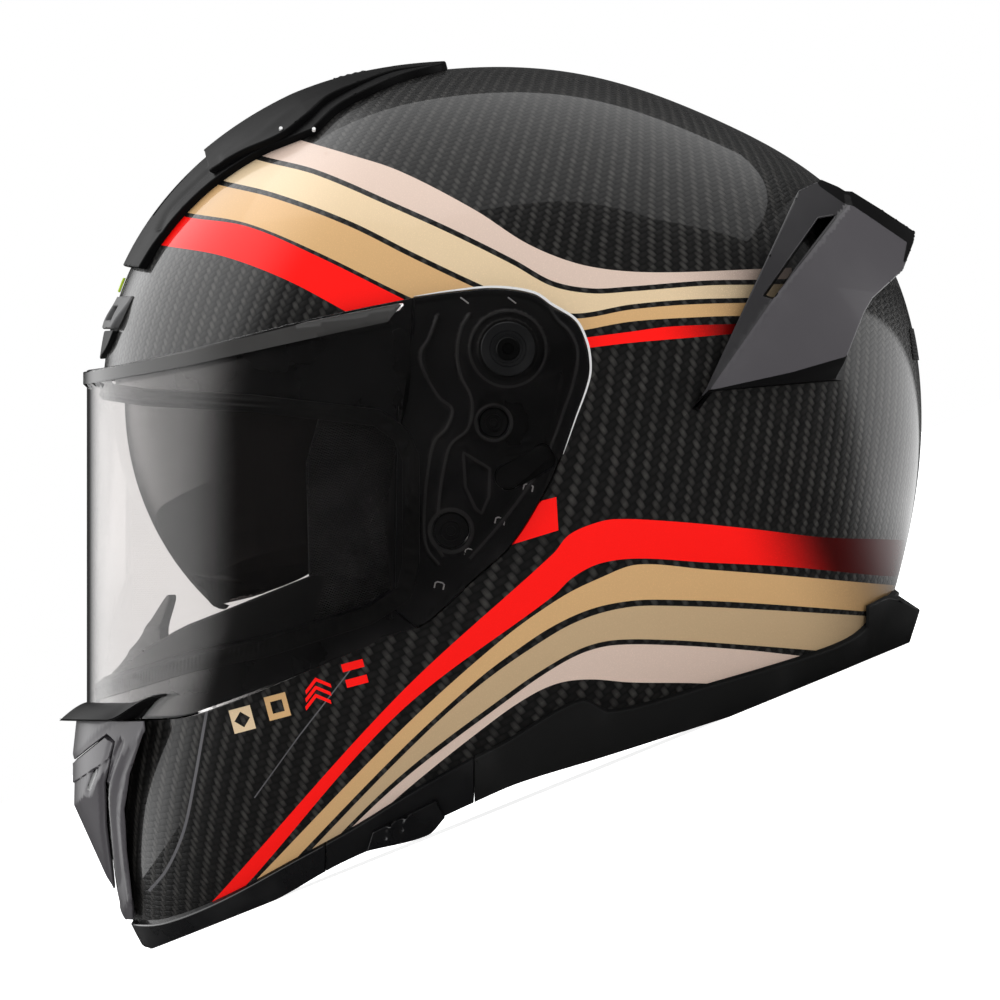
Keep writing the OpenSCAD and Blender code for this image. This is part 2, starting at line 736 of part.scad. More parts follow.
strap_x = half_x(k * RIVET_AT[0], k * RIVET_AT[1], 0) - STRAP_INSET;
buckle_z = k * BUCKLE_AT;
buckle_y = k * STRAP_Y;
strap_path = concat([for (p = STRAP) [strap_x - p[0], k * p[1]]], [[BUCKLE_L / 2 - 2, buckle_z]]);

module strap_band(margin) rotate([90, 0, 0]) translate([0, 0, -buckle_y - strap_w / 2 - margin])
    linear_extrude(strap_w + 2 * margin) polygon(ribbon(strap_path, strap_t + 2 * margin));

module strap_left() color([0.1, 0.1, 0.1]) worn() strap_band(0);
module strap_right() color([0.1, 0.1, 0.1]) worn() mirror([1, 0, 0]) strap_band(0);

module strap_rivets() color([0.5, 0.5, 0.5]) worn() both_sides() intersection() {
    axle(RIVET_R, strap_x + strap_t / 2 + gap, FAR, RIVET_AT);
    layer(-shell_wall - gap);
}

module buckle_body() color([0.3, 0.3, 0.32]) worn() difference() {
    translate([-BUCKLE_L / 2, buckle_y - strap_w / 2 - 2, buckle_z - BUCKLE_H / 2])
        cube([BUCKLE_L, strap_w + 4, BUCKLE_H]);
    both_sides() translate([BUCKLE_L / 2 - BUCKLE_SLOT, buckle_y - strap_w / 2 - gap,
        buckle_z - strap_t / 2 - gap]) cube([BUCKLE_SLOT + 1, strap_w + 2 * gap, strap_t + 2 * gap]);
}

module buckle_lever() color([0.7, 0.1, 0.1]) worn()
    translate([-BUCKLE_L / 2, buckle_y - strap_w / 2, buckle_z + BUCKLE_H / 2 + gap])
        cube([BUCKLE_L - 4, strap_w, 2]);

shell();
foam_liner();
chin_foam();
crown_pad();
cheek_pad_left();
cheek_pad_right();
neck_roll();
chin_curtain();
eyeport_gasket();
trim_chin();
trim_left();
trim_right();
neck_skirt();
side_plate_left();
side_plate_right();
visor_hub_left();
visor_hub_right();
hub_screws();
plate_screws();
release_lever_left();
release_lever_right();
visor();
visor_tab();
sun_visor();
sun_visor_pins();
sun_visor_lever();
chin_vent();
chin_vent_flap();
chin_vent_mesh();
brow_vent();
brow_vent_slider();
brow_seal();
crown_vent();
crown_vent_slider();
crown_vent_mesh();
rear_spoiler();
exhaust_mesh();
breath_guard();
strap_left();
strap_right();
strap_rivets();
buckle_body();
buckle_lever();
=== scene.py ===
"""Full face racing helmet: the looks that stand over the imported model.

Shapes are worked out in the worn frame, in millimetres: its origin is the visor's pivot axis, +Y runs
back, +Z up and +X to the wearer's left. Every mesh is then turned into the row frame, in metres.
"""

from __future__ import annotations

import logging
import math
from dataclasses import dataclass, field
from enum import Enum, IntEnum
from typing import Callable, Iterable, Sequence

import bpy
import numpy as np
from mathutils import Matrix, Vector
from mathutils.geometry import delaunay_2d_cdt
from mathutils.kdtree import KDTree


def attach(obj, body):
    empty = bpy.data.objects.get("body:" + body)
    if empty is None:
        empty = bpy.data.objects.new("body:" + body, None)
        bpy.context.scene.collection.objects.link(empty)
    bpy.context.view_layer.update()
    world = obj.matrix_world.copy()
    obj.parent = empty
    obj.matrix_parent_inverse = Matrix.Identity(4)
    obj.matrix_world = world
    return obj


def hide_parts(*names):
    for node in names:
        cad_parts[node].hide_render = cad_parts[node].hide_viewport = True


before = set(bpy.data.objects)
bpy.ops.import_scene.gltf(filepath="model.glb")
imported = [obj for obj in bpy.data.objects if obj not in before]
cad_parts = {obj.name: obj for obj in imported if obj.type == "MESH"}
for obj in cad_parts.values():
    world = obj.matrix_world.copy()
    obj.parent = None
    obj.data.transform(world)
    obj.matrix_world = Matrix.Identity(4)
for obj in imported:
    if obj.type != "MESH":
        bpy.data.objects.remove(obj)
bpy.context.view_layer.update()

LOG = logging.getLogger("helmet")

WORN_TILT = math.radians(22)
REST_Y = 27.64
REST_H = 149.6
MM = 0.001

# The photograph's scale, and the pixel that the visor's pivot axis runs through
PX = 0.355
PIVOT_PX = (508, 350)

Points = np.ndarray
Pair = tuple[float, float]
Line = Sequence[Pair]
Regions = Sequence[tuple[Points, int]]
Rule = Callable[[Points], Points]
Colour = tuple[float, float, float]
Socket = bpy.types.NodeSocket
Materials = Sequence[bpy.types.Material]


class Side(Enum):
    """Where a piece lies: on one side of the helmet, or over both with one joined surface."""

    LEFT = 1
    RIGHT = -1
    BOTH = 0

    @property
    def word(self) -> str:
        """The side as it stands in names."""
        return self.name.lower()


SIDES = (Side.LEFT, Side.RIGHT)


# Frames and lines


def seen(line: Line) -> list[Pair]:
    """Turns points of the photograph into the worn side view.

    Args:
        line: Points in pixels, right and down.

    Returns:
        The same points in millimetres, back and up from the pivot axis.
    """
    return [((u - PIVOT_PX[0]) * PX, (PIVOT_PX[1] - v) * PX) for u, v in line]


def turned_to_row(vectors: Points) -> Points:
    """Turns worn directions into the row frame's directions.

    Args:
        vectors: The directions, in rows.

    Returns:
        The same directions in the row frame.
    """
    cos, sin = math.cos(WORN_TILT), math.sin(WORN_TILT)
    y, z = vectors[:, 1], vectors[:, 2]
    return np.stack([vectors[:, 0], y * cos + z * sin, z * cos - y * sin], 1)


def to_row(points: Points) -> Points:
    """Turns worn points in millimetres into row points in metres."""
    return (turned_to_row(points) + np.array([0, REST_Y, REST_H])) * MM


def unit(vectors: Points) -> Points:
    """The same vectors with a length of one."""
    return vectors / (np.linalg.norm(vectors, axis=-1, keepdims=True) + 1e-12)


def sideways(line: Points) -> Points:
    """Unit vectors square to an open line, at each of its points."""
    way = unit(np.gradient(line, axis=0))
    return np.stack([-way[:, 1], way[:, 0]], 1)


def curved(line: Line, corners: Iterable[int] = (), closed: bool = True, step: float = 1.5) -> Points:
    """Draws a smooth line through points, with a corner at some of them.

    Args:
        line: The points to run through.
        corners: Indexes of the points at which the line turns sharply.
        closed: Whether the line returns to its first point.
        step: Distance between the points of the result.

    Returns:
        The points of the smooth line.
    """
    pts, n, sharp = np.array(line, float), len(line), set(corners)
    out: list[Points] = []
    for i in range(n if closed else n - 1):
        a, b = pts[i], pts[(i + 1) % n]
        before = pts[(i - 1) % n] if closed or i else a
        after = pts[(i + 2) % n] if closed or i + 2 < n else b
        size = np.linalg.norm(b - a)
        back, ahead = np.linalg.norm(a - before) + 1e-9, np.linalg.norm(after - b) + 1e-9
        m0 = (b - a) if i in sharp else size * (b - before) / (back + size)
        m1 = (b - a) if (i + 1) % n in sharp else size * (after - a) / (ahead + size)
        t = np.arange(0, 1, 1 / max(1, math.ceil(size / step)))[:, None]
        out.append((2 * t**3 - 3 * t**2 + 1) * a + (t**3 - 2 * t**2 + t) * m0
                   + (3 * t**2 - 2 * t**3) * b + (t**3 - t**2) * m1)
    if not closed:
        out.append(pts[-1:])
    return np.concatenate(out)


def straight(line: Line, step: float = 1.5) -> Points:
    """A closed outline with straight sides, cut into short steps."""
    return curved(line, range(len(line)), True, step)


def grown(line: Points, margin: float) -> Points:
    """Moves a closed outline outwards, whichever way round it runs.

    Args:
        line: The outline.
        margin: How far it moves, in millimetres.

    Returns:
        The moved outline.
    """
    ahead = unit(np.roll(line, -1, 0) - line)
    tangent = unit(ahead + np.roll(ahead, 1, 0))
    turn = np.sum(line[:, 0] * np.roll(line[:, 1], -1) - line[:, 1] * np.roll(line[:, 0], -1))
    return line + margin * math.copysign(1, turn) * np.stack([tangent[:, 1], -tangent[:, 0]], 1)


def circle(centre: Pair, radius: float, count: int = 48) -> Points:
    """A round outline."""
    t = np.linspace(0, 2 * math.pi, count, endpoint=False)
    return np.stack([centre[0] + radius * np.cos(t), centre[1] + radius * np.sin(t)], 1)


def distance_to(points: Points, line: Points, closed: bool = False) -> Points:
    """Distance from each point to a line.

    Args:
        points: The points, two numbers each.
        line: The line's points.
        closed: Whether the line returns to its first point.

    Returns:
        One distance for each point.
    """
    a = line if closed else line[:-1]
    b = np.roll(line, -1, 0) if closed else line[1:]
    best = np.full(len(points), 1e9)
    for p, q in zip(a, b):
        d = q - p
        t = np.clip(((points - p) @ d) / (d @ d + 1e-12), 0, 1)
        best = np.minimum(best, np.linalg.norm(points - p - t[:, None] * d, axis=1))
    return best


def inside(points: Points, line: Points) -> Points:
    """Tells which points lie inside a closed outline.

    Args:
        points: The points.
        line: The outline.

    Returns:
        One answer for each point.
    """
    x, y = points[:, 0], points[:, 1]
    found = np.zeros(len(points), bool)
    for (x0, y0), (x1, y1) in zip(line, np.roll(line, -1, 0)):
        if y0 != y1:
            found ^= ((y0 > y) != (y1 > y)) & (x < (x1 - x0) * (y - y0) / (y1 - y0) + x0)
    return found


def eased(value: Points, low: float, high: float) -> Points:
    """Runs smoothly from 0 at low to 1 at high, which may be the smaller one."""
    t = np.clip((value - low) / (high - low), 0, 1)
    return t * t * (3 - 2 * t)


# Surfaces


@dataclass(frozen=True)
class Form:
    """A closed smooth body about an axis that runs across the helmet.

    Its chart is a disc: the centre is the side's middle, the rim is the helmet's middle plane, and a
    direction in it is the same direction in the side view.
    """

    radius: Rule
    half_width: float
    centre: Pair = (0.0, 0.0)
    round_y: float = 2.2
    round_x: float = 2.1

    def chart(self, side_view: Points) -> Points:
        """Turns side view points, in millimetres, into points of the chart.

        Args:
            side_view: The points, back and up.

        Returns:
            The points of the chart.
        """
        p = np.asarray(side_view, float) - np.array(self.centre)
        r = np.linalg.norm(p, axis=1) + 1e-9
        share = np.clip(r / self.radius(np.arctan2(p[:, 1], -p[:, 0])), 0, 1)
        return np.arcsin(share ** (self.round_y / 2))[:, None] * p / r[:, None]

    def place(self, chart: Points, depth: Points | float = 0.0) -> Points:
        """Places chart points on the layer that lies depth outside the surface, on the left.

        Args:
            chart: The points of the chart.
            depth: The layer's distance outside the form.

        Returns:
            The worn points.
        """
        t = np.linalg.norm(chart, axis=1) + 1e-9
        way = chart / t[:, None]
        q = np.sin(t) ** (2 / self.round_y) * (self.radius(np.arctan2(way[:, 1], -way[:, 0])) + depth)
        cos = np.cos(t)
        x = (self.half_width + depth) * np.sign(cos) * np.abs(cos) ** (2 / self.round_x)
        return np.stack([x, self.centre[0] + q * way[:, 0], self.centre[1] + q * way[:, 1]], 1)

    def layer(self, depth: float) -> Form:
        """The same form, moved outwards by depth."""
        return Form(lambda angle: self.radius(angle) + depth, self.half_width + depth, self.centre, self.round_y,
                    self.round_x)

    def cloth(self, chart: Points) -> Points:
        """Lays a weave over the chart, in millimetres, with its cells as even as they can be.

        Args:
            chart: The points of the chart.

        Returns:
            Their places in the weave.
        """
        t = np.linalg.norm(chart, axis=1) + 1e-9
        r = self.radius(np.arctan2(chart[:, 1], -chart[:, 0]))
        size = np.sqrt((r**2 + self.half_width**2) / 2)
        return chart / t[:, None] * (size * 2 * np.sin(t / 2))[:, None]


@dataclass(frozen=True)
class FrontFace:
    """A face that looks forward: its chart is the front view, in millimetres across and up."""

    front: Callable[[Points, Points], Points]

    def chart(self, front_view: Points) -> Points:
        """The front view is the chart itself."""
        return np.asarray(front_view, float)

    def place(self, chart: Points, depth: Points | float = 0.0) -> Points:
        """Places front view points on the face, moved forward by depth."""
        x, z = chart[:, 0], chart[:, 1]
        return np.stack([x, self.front(x, z) - depth, z], 1)

    def cloth(self, chart: Points) -> Points:
        """The front view itself."""
        return chart


@dataclass(frozen=True)
class SideFace:
    """A side wall of a form, whose chart is the side view itself, in millimetres."""

    form: Form

    def chart(self, side_view: Points) -> Points:
        """The side view is the chart itself."""
        return np.asarray(side_view, float)

    def place(self, chart: Points, depth: Points | float = 0.0) -> Points:
        """Places side view points on the layer that lies depth outside the form, on the left."""
        x = half_width_at(self.form, chart[:, 0], chart[:, 1], depth)
        return np.stack([x, chart[:, 0], chart[:, 1]], 1)

    def cloth(self, chart: Points) -> Points:
        """The side view itself."""
        return chart


Surface = Form | FrontFace | SideFace

STEP_ANGLE = math.radians(15)
SHELL_RADII = np.array([143, 136, 126, 116, 108, 102, 100, 101, 104, 111, 125, 139, 145, 151, 159, 174,
                        196, 228, 261, 264, 257, 204, 160, 147], float)
SHELL_HALF = 127.0
VISOR_STAND = 7.0
VISOR_GAP = 1.0
VISOR_WALL = 2.2
VISOR_UPRIGHT = 45.0
VISOR_BEND = 18.0


def shell_radius(angle: Points) -> Points:
    """Radius of the shell's centre line at an angle from the front, up and over.

    Args:
        angle: The angles, in radians.

    Returns:
        The radii, in millimetres.
    """
    t = (angle % (2 * math.pi)) / STEP_ANGLE
    i = np.floor(t).astype(int)
    f = t - i
    a, b, c, d = (SHELL_RADII[(i + j) % len(SHELL_RADII)] for j in (-1, 0, 1, 2))
    return ((1 - f) ** 3 * a + (3 * f**3 - 6 * f**2 + 4) * b
            + (1 + 3 * f + 3 * f**2 - 3 * f**3) * c + f**3 * d) / 6


VISOR_REACH = float(shell_radius(np.zeros(1))[0]) + VISOR_STAND


def visor_radius(angle: Points) -> Points:
    """Radius of the visor's centre line: upright in front, with a smooth arc above and below.

    Args:
        angle: The angles, in radians.

    Returns:
        The radii, in millimetres.
    """
    s = np.degrees(np.abs((angle + math.pi) % (2 * math.pi) - math.pi))
    past = np.maximum(s - VISOR_UPRIGHT, 0)
    e = np.where(s < VISOR_UPRIGHT, s, VISOR_UPRIGHT + VISOR_BEND * (1 - np.exp(-past / VISOR_BEND)))
    return VISOR_REACH / np.cos(np.radians(e))


def even_radius(radius: float) -> Rule:
    """A rule that gives the same radius all round."""
    return lambda angle: np.full(np.shape(angle), radius)


SHELL = Form(shell_radius, SHELL_HALF)
VISOR = Form(visor_radius, SHELL_HALF + VISOR_GAP + VISOR_WALL)
SUN_REACH = 100.0
SUN_FORM = Form(even_radius(SUN_REACH), 106.0, (-36.0, -18.0), 2.4, 2.4)


# Meshes


def placed(name: str, data: bpy.types.ID) -> bpy.types.Object:
    """Puts a new mesh, lamp or camera in the scene as an object.

    Args:
        name: The object's name.
        data: The mesh, lamp or camera.

    Returns:
        The object.
    """
    item = bpy.data.objects.new(name, data)
    bpy.context.scene.collection.objects.link(item)
    return item


@dataclass
class Cloud:
    """Corners, faces and corner normals of a mesh that is being made, in the worn frame."""

    points: list[Points] = field(default_factory=list)
    faces: list[Points] = field(default_factory=list)
    normals: list[Points] = field(default_factory=list)
    cloth: list[Points] = field(default_factory=list)
    finish: list[Points] = field(default_factory=list)
    count: int = 0

    def corners(self, points: Points) -> int:
        """Adds corners and returns the index of the first.

        Args:
            points: The corners.

        Returns:
            The first one's index.
        """
        self.points.append(points)
        self.count += len(points)
        return self.count - len(points)

    def add(self, faces: Points, normals: Points, cloth: Points, finish: Points | int) -> None:
        """Adds faces.

        Args:
            faces: Corner indexes, one row for each face.
            normals: A normal for each corner of each face.
            cloth: A weave place for each corner of each face.
            finish: The material's index for each face, or one for all.
        """
        self.faces.append(faces)
        self.normals.append(normals.reshape(-1, 3))
        self.cloth.append(cloth.reshape(-1, 2))
        self.finish.append(np.broadcast_to(finish, len(faces)))

    def build(self, name: str, materials: Materials, ground: bool = False) -> bpy.types.Object:
        """Makes the object in the row frame.

        Args:
            name: The piece's name.
            materials: The materials that the faces' indexes count in.
            ground: Whether the piece is cut flat at the ground that the rim stands on.

        Returns:
            The new object, linked to the scene.
        """
        points = to_row(np.concatenate(self.points))
        if ground:
            points[:, 2] = np.maximum(points[:, 2], 0)
        faces = [row for block in self.faces for row in block.tolist()]
        mesh = bpy.data.meshes.new(name)
        mesh.from_pydata(points.tolist(), [], faces)
        mesh.polygons.foreach_set("material_index", np.concatenate(self.finish).astype(np.int32))
        mesh.polygons.foreach_set("use_smooth", np.ones(len(faces), bool))
        layer = mesh.uv_layers.new(name="Weave")
        layer.data.foreach_set("uv", np.concatenate(self.cloth).ravel().astype(np.float32))
        mesh.normals_split_custom_set(unit(turned_to_row(np.concatenate(self.normals))).tolist())
        for material in materials:
            mesh.materials.append(material)
        mesh.validate()
        return placed(name, mesh)


# Shares of a mesh's grain: the height of its rows, the room left free along a line, and what counts as double
ROW_PITCH = 0.866
CLEAR = 0.55
DOUBLE = 0.02


def fill(outline: Points, holes: Sequence[Points], regions: Sequence[Points], grain: float
         ) -> tuple[Points, Points, Points]:
    """Fills an outline with even triangles.

    Args:
        outline: The closed outline, in the chart.
        holes: Outlines that stay open.
        regions: Outlines that get a finish of their own, the last on top.
        grain: Distance between the points inside.

    Returns:
        The points, the triangles, and each triangle's region, 0 for none.
    """
    lines = [outline, *holes, *regions]
    fixed: list[Points] = []
    for line in lines:
        fixed.append(line[np.linalg.norm(line - np.roll(line, 1, 0), axis=1) > grain * DOUBLE])
    tree = KDTree(sum(len(line) for line in fixed))
    for n, p in enumerate(np.concatenate(fixed)):
        tree.insert((p[0], p[1], 0), n)
    tree.balance()
    low, high = outline.min(0), outline.max(0)
    rows = []
    for j, y in enumerate(np.arange(low[1], high[1], grain * ROW_PITCH)):
        x = np.arange(low[0] + grain / 2 * (j % 2), high[0], grain)
        rows.append(np.stack([x, np.full(len(x), y)], 1))
    lattice = np.concatenate(rows)
    lattice = lattice[inside(lattice, outline)]
    for hole in holes:
        lattice = lattice[~inside(lattice, hole)]
    lattice = np.array([p for p in lattice if tree.find((p[0], p[1], 0))[2] > grain * CLEAR]).reshape(-1, 2)
    edges, start = [], 0
    for line in fixed:
        index = np.arange(start, start + len(line))
        edges.append(np.stack([index, np.roll(index, -1)], 1))
        start += len(line)
    everything = np.concatenate([*fixed, lattice])
    verts, _, tris, *_ = delaunay_2d_cdt([Vector(p) for p in everything], np.concatenate(edges).tolist(), [], 0,
                                         grain * 1e-3)
    points, tri = np.array([tuple(v) for v in verts]), np.array(tris, int)
    a, b, c = points[tri[:, 0]], points[tri[:, 1]], points[tri[:, 2]]
    area = (b[:, 0] - a[:, 0]) * (c[:, 1] - a[:, 1]) - (b[:, 1] - a[:, 1]) * (c[:, 0] - a[:, 0])
    middle = (a + b + c) / 3
    kept = inside(middle, outline) & (np.abs(area) > 1e-12)
    for hole in holes:
        kept &= ~inside(middle, hole)
    tri, area, middle = tri[kept], area[kept], middle[kept]
    tri[area < 0] = tri[area < 0][:, ::-1]
    tags = np.zeros(len(tri), int)
    for number, region in enumerate(regions, 1):
        tags[inside(middle, region)] = number
    used, tri = np.unique(tri, return_inverse=True)
    return points[used], tri.reshape(-1, 3), tags


ROUNDING = np.radians([30, 60, 90])


@dataclass
class Panel:
    """A wall of even thickness laid on a surface, with rounded edges.

    Its outline, holes and regions are closed lines of the surface's own view, the side view for a Form.
    """

    surface: Surface
    outline: Points
    low: float
    high: float
    side: Side = Side.BOTH
    holes: Sequence[Points] = ()
    regions: Regions = ()
    edge: float = 0.5
    grain: float = 2.6
    inward: bool = False
    finish: int = 0
    relief: Rule | None = None
    foot: Rule | None = None
    charted: bool = False

    def face(self, chart: Points) -> Points:
        """The shown face: the outer one, or the inner one of a lining, with its relief.

        Args:
            chart: The points of the chart.

        Returns:
            The worn points.
        """
        depth = self.low if self.inward else self.high
        if self.relief is None:
            return self.surface.place(chart, depth)
        height = self.relief(self.surface.place(chart, depth))
        return self.surface.place(chart, depth - height if self.inward else depth + height)

    def normals(self, chart: Points) -> Points:
        """Normals of the shown face, measured on the surface itself.

        Args:
            chart: The points of the chart.

        Returns:
            One normal for each point.
        """
        e = self.millimetre * 0.25
        ex, ey = np.array([[e, 0]]), np.array([[0, e]])
        across = self.face(chart + ex) - self.face(chart - ex)
        up = self.face(chart + ey) - self.face(chart - ey)
        return unit(np.cross(across, up))

    @property
    def millimetre(self) -> float:
        """About one millimetre, in the surface's chart."""
        return 1 / 130 if isinstance(self.surface, Form) else 1.0

    def add_to(self, cloud: Cloud) -> Cloud:
        """Adds the wall to a mesh that is being made, and returns that mesh.

        Args:
            cloud: The mesh.

        Returns:
            The same mesh.
        """
        chart = np.asarray if self.charted else self.surface.chart
        verts, tris, tags = fill(chart(self.outline), [chart(h) for h in self.holes],
                                 [chart(r) for r, _ in self.regions], self.grain * self.millimetre)
        table = np.array([self.finish] + [index for _, index in self.regions])
        finish = table[tags]
        if self.side is Side.BOTH:
            far = np.linalg.norm(verts, axis=1)
            verts = verts * np.where(far > math.pi / 2 - 1e-3, math.pi / 2 / far, 1)[:, None]
            self._wall(cloud, *self._joined(verts, tris, finish))
        else:
            mirror = np.full(len(verts), float(self.side.value))
            self._wall(cloud, verts, tris[:, ::-1] if self.side is Side.RIGHT else tris, finish, mirror)
        return cloud

    def _joined(self, verts: Points, tris: Points, finish: Points) -> tuple[Points, Points, Points, Points]:
        """Mirrors a half and joins it to itself at the middle plane.

        Args:
            verts: The half's points, in the chart.
            tris: Its triangles.
            finish: Their finishes.

        Returns:
            The whole's points, triangles and finishes, and the side of each point.
        """
        middle = np.linalg.norm(verts, axis=1) > math.pi / 2 - 1e-6
        across = ~middle[tris].all(1)
        tris, finish = tris[across], finish[across]
        index = np.arange(len(verts))
        other = np.where(middle, index, 0)
        other[~middle] = len(verts) + np.arange(np.count_nonzero(~middle))
        both = np.concatenate([verts, verts[~middle]])
        sign = np.concatenate([np.ones(len(verts)), -np.ones(np.count_nonzero(~middle))])
        return both, np.concatenate([tris, other[tris][:, ::-1]]), np.concatenate([finish, finish]), sign

    def _wall(self, cloud: Cloud, chart: Points, tris: Points, finish: Points, sign: Points) -> None:
        """Adds the outer face, its rounded rim, the wall and the inner face.

        Args:
            cloud: The mesh that is being made.
            chart: The points, in the chart.
            tris: The triangles.
            finish: Their finishes.
            sign: 1 for a point on the left, -1 for one on the right.
        """
        flip = np.stack([sign, np.ones_like(sign), np.ones_like(sign)], 1)
        top = self.face(chart) * flip
        inner = self.high if self.inward else self.low
        under = (self.foot(chart) if self.foot else self.surface.place(chart, inner)) * flip
        normal = self.normals(chart) * flip
        weave = self.surface.cloth(chart)
        if self.inward:
            tris, normal = tris[:, ::-1], -normal
        pairs = np.concatenate([tris[:, [0, 1]], tris[:, [1, 2]], tris[:, [2, 0]]])
        owner = np.concatenate([np.arange(len(tris))] * 3)
        key = np.sort(pairs, 1)
        _, first, count = np.unique(key, axis=0, return_index=True, return_counts=True)
        rim = first[count == 1]
        a, b, rim_finish = pairs[rim, 0], pairs[rim, 1], finish[owner[rim]]
        along = unit(top[b] - top[a])
        out = np.zeros_like(top)
        for end in (a, b):
            np.add.at(out, end, np.cross(along, normal[end]))
        edge_corner = np.unique(np.concatenate([a, b]))
        slot = np.full(len(top), -1)
        slot[edge_corner] = np.arange(len(edge_corner))
        o, n = unit(out[edge_corner]), normal[edge_corner]
        outer = top[edge_corner]
        shifted = top.copy()
        shifted[edge_corner] = outer - o * self.edge
        base = cloud.corners(shifted)
        cloud.add(tris + base, normal[tris], weave[tris], finish)
        rings = [(base + edge_corner, n)]
        for angle in ROUNDING:
            cos, sin = math.cos(angle), math.sin(angle)
            ring = outer - o * self.edge * (1 - sin) - n * self.edge * (1 - cos)
            rings.append((cloud.corners(ring) + np.arange(len(ring)), n * cos + o * sin))
        a_slot, b_slot = slot[a], slot[b]
        flat = np.stack([weave[a], weave[a], weave[b], weave[b]], 1)
        for (upper, un), (lower, ln) in zip(rings, rings[1:]):
            faces = np.stack([upper[a_slot], lower[a_slot], lower[b_slot], upper[b_slot]], 1)
            cloud.add(faces, np.stack([un[a_slot], ln[a_slot], ln[b_slot], un[b_slot]], 1), flat, rim_finish)
        lower = rings[-1][0]
        under_base = cloud.corners(under)
        foot = under_base + edge_corner
        faces = np.stack([lower[a_slot], foot[a_slot], foot[b_slot], lower[b_slot]], 1)
        cloud.add(faces, np.stack([o[a_slot], o[a_slot], o[b_slot], o[b_slot]], 1), flat, rim_finish)
        cloud.add(tris[:, ::-1] + under_base, -normal[tris[:, ::-1]], weave[tris[:, ::-1]], self.finish)

    def build(self, name: str, materials: Materials, ground: bool = False) -> bpy.types.Object:
        """Makes the wall an object of its own."""
        return self.add_to(Cloud()).build(name, materials, ground)


def lathe(cloud: Cloud, profile: Line, centre: Pair, mirror: float = 1.0,
          finish: int = 0, count: int = 64) -> None:
    """Adds a turned shape whose axis runs across the helmet.

    Args:
        cloud: The mesh that is being made.
        profile: Distances from the middle plane and radii, from the inner end to the outer one.
        centre: The axis, in the side view.
        mirror: 1 for the left side, -1 for the right.
        finish: The material's index.
        count: How many steps the circle has.
    """
    line = np.array(profile, float)
    angle = np.linspace(0, 2 * math.pi, count, endpoint=False)
    for (x0, r0), (x1, r1) in zip(line, line[1:]):
        slope = unit(np.array([x1 - x0, r1 - r0]))
        rings = []
        for x, r in ((x0, r0), (x1, r1)):
            ring = np.stack([np.full(count, mirror * x), centre[0] + r * np.cos(angle),
                             centre[1] + r * np.sin(angle)], 1)
            rings.append(cloud.corners(ring) + np.arange(count))
        normal = np.stack([np.full(count, -mirror * slope[1]), slope[0] * np.cos(angle),
                           slope[0] * np.sin(angle)], 1)
        nxt = np.roll(np.arange(count), -1)
        a, b = rings
        faces = np.stack([a, a[nxt], b[nxt], b], 1)
        sides = np.stack([normal, normal[nxt], normal[nxt], normal], 1)
        if mirror < 0:
            faces, sides = faces[:, ::-1], sides[:, ::-1]
        cloud.add(faces, sides, np.zeros((count, 4, 2)), finish)


# Parts that repeat, made with Geometry Nodes


def guide(name: str, lines: Sequence[Points]) -> bpy.types.Object:
    """Makes a mesh of open lines from worn points, for a node tree to lay parts along.

    Args:
        name: The mesh's name.
        lines: Worn points of each line.

    Returns:
        The object.
    """
    points, edges, start = [], [], 0
    for line in lines:
        points += to_row(line).tolist()
        edges += [(start + i, start + i + 1) for i in range(len(line) - 1)]
        start += len(line)
    mesh = bpy.data.meshes.new(name)
    mesh.from_pydata(points, edges, [])
    return placed(name, mesh)


Wire = Socket | float | Sequence[float]


class Nodes:
    """Short ways to add nodes to a tree. The prefix stands before the name of each kind."""

    prefix = "ShaderNode"

    def __init__(self, tree: bpy.types.NodeTree) -> None:
        """Takes the tree."""
        self.tree = tree

    def wire(self, socket: Socket, value: Wire) -> None:
        """Links a socket to another one, or sets its value.

        Args:
            socket: The socket.
            value: Another node's output, or a value.
        """
        if isinstance(value, Socket):
            self.tree.links.new(value, socket)
        else:
            socket.default_value = (*value, 1.0) if socket.type == "RGBA" and len(value) == 3 else value

    def outputs(self, kind: str, inputs: dict[str | int, Wire] | None = None, **settings: object
                ) -> bpy.types.NodeOutputs:
        """Adds a node.

        Args:
            kind: The node's kind.
            inputs: Its sockets by name or index, each with a value or a link.
            settings: Its other settings.

        Returns:
            Its outputs.
        """
        made = self.tree.nodes.new(self.prefix + kind)
        for name, value in settings.items():
            setattr(made, name, value)
        for key, value in (inputs or {}).items():
            self.wire(made.inputs[key], value)
        return made.outputs

    def node(self, kind: str, inputs: dict[str | int, Wire] | None = None, output: str | int = 0,
             **settings: object) -> Socket:
        """Adds a node as above, and returns one of its outputs."""
        return self.outputs(kind, inputs, **settings)[output]

    def math(self, operation: str, a: Wire, b: Wire = 0.0, c: Wire = 0.0) -> Socket:
        """One step of arithmetic."""
        return self.node("Math", {0: a, 1: b, 2: c}, operation=operation)

    def ramp(self, value: Wire, low: float, high: float, start: Wire = 0.0, end: Wire = 1.0) -> Socket:
        """Carries a value smoothly from one range to another."""
        return self.node("MapRange", {0: value, 1: low, 2: high, 3: start, 4: end},
                         interpolation_type="SMOOTHSTEP")


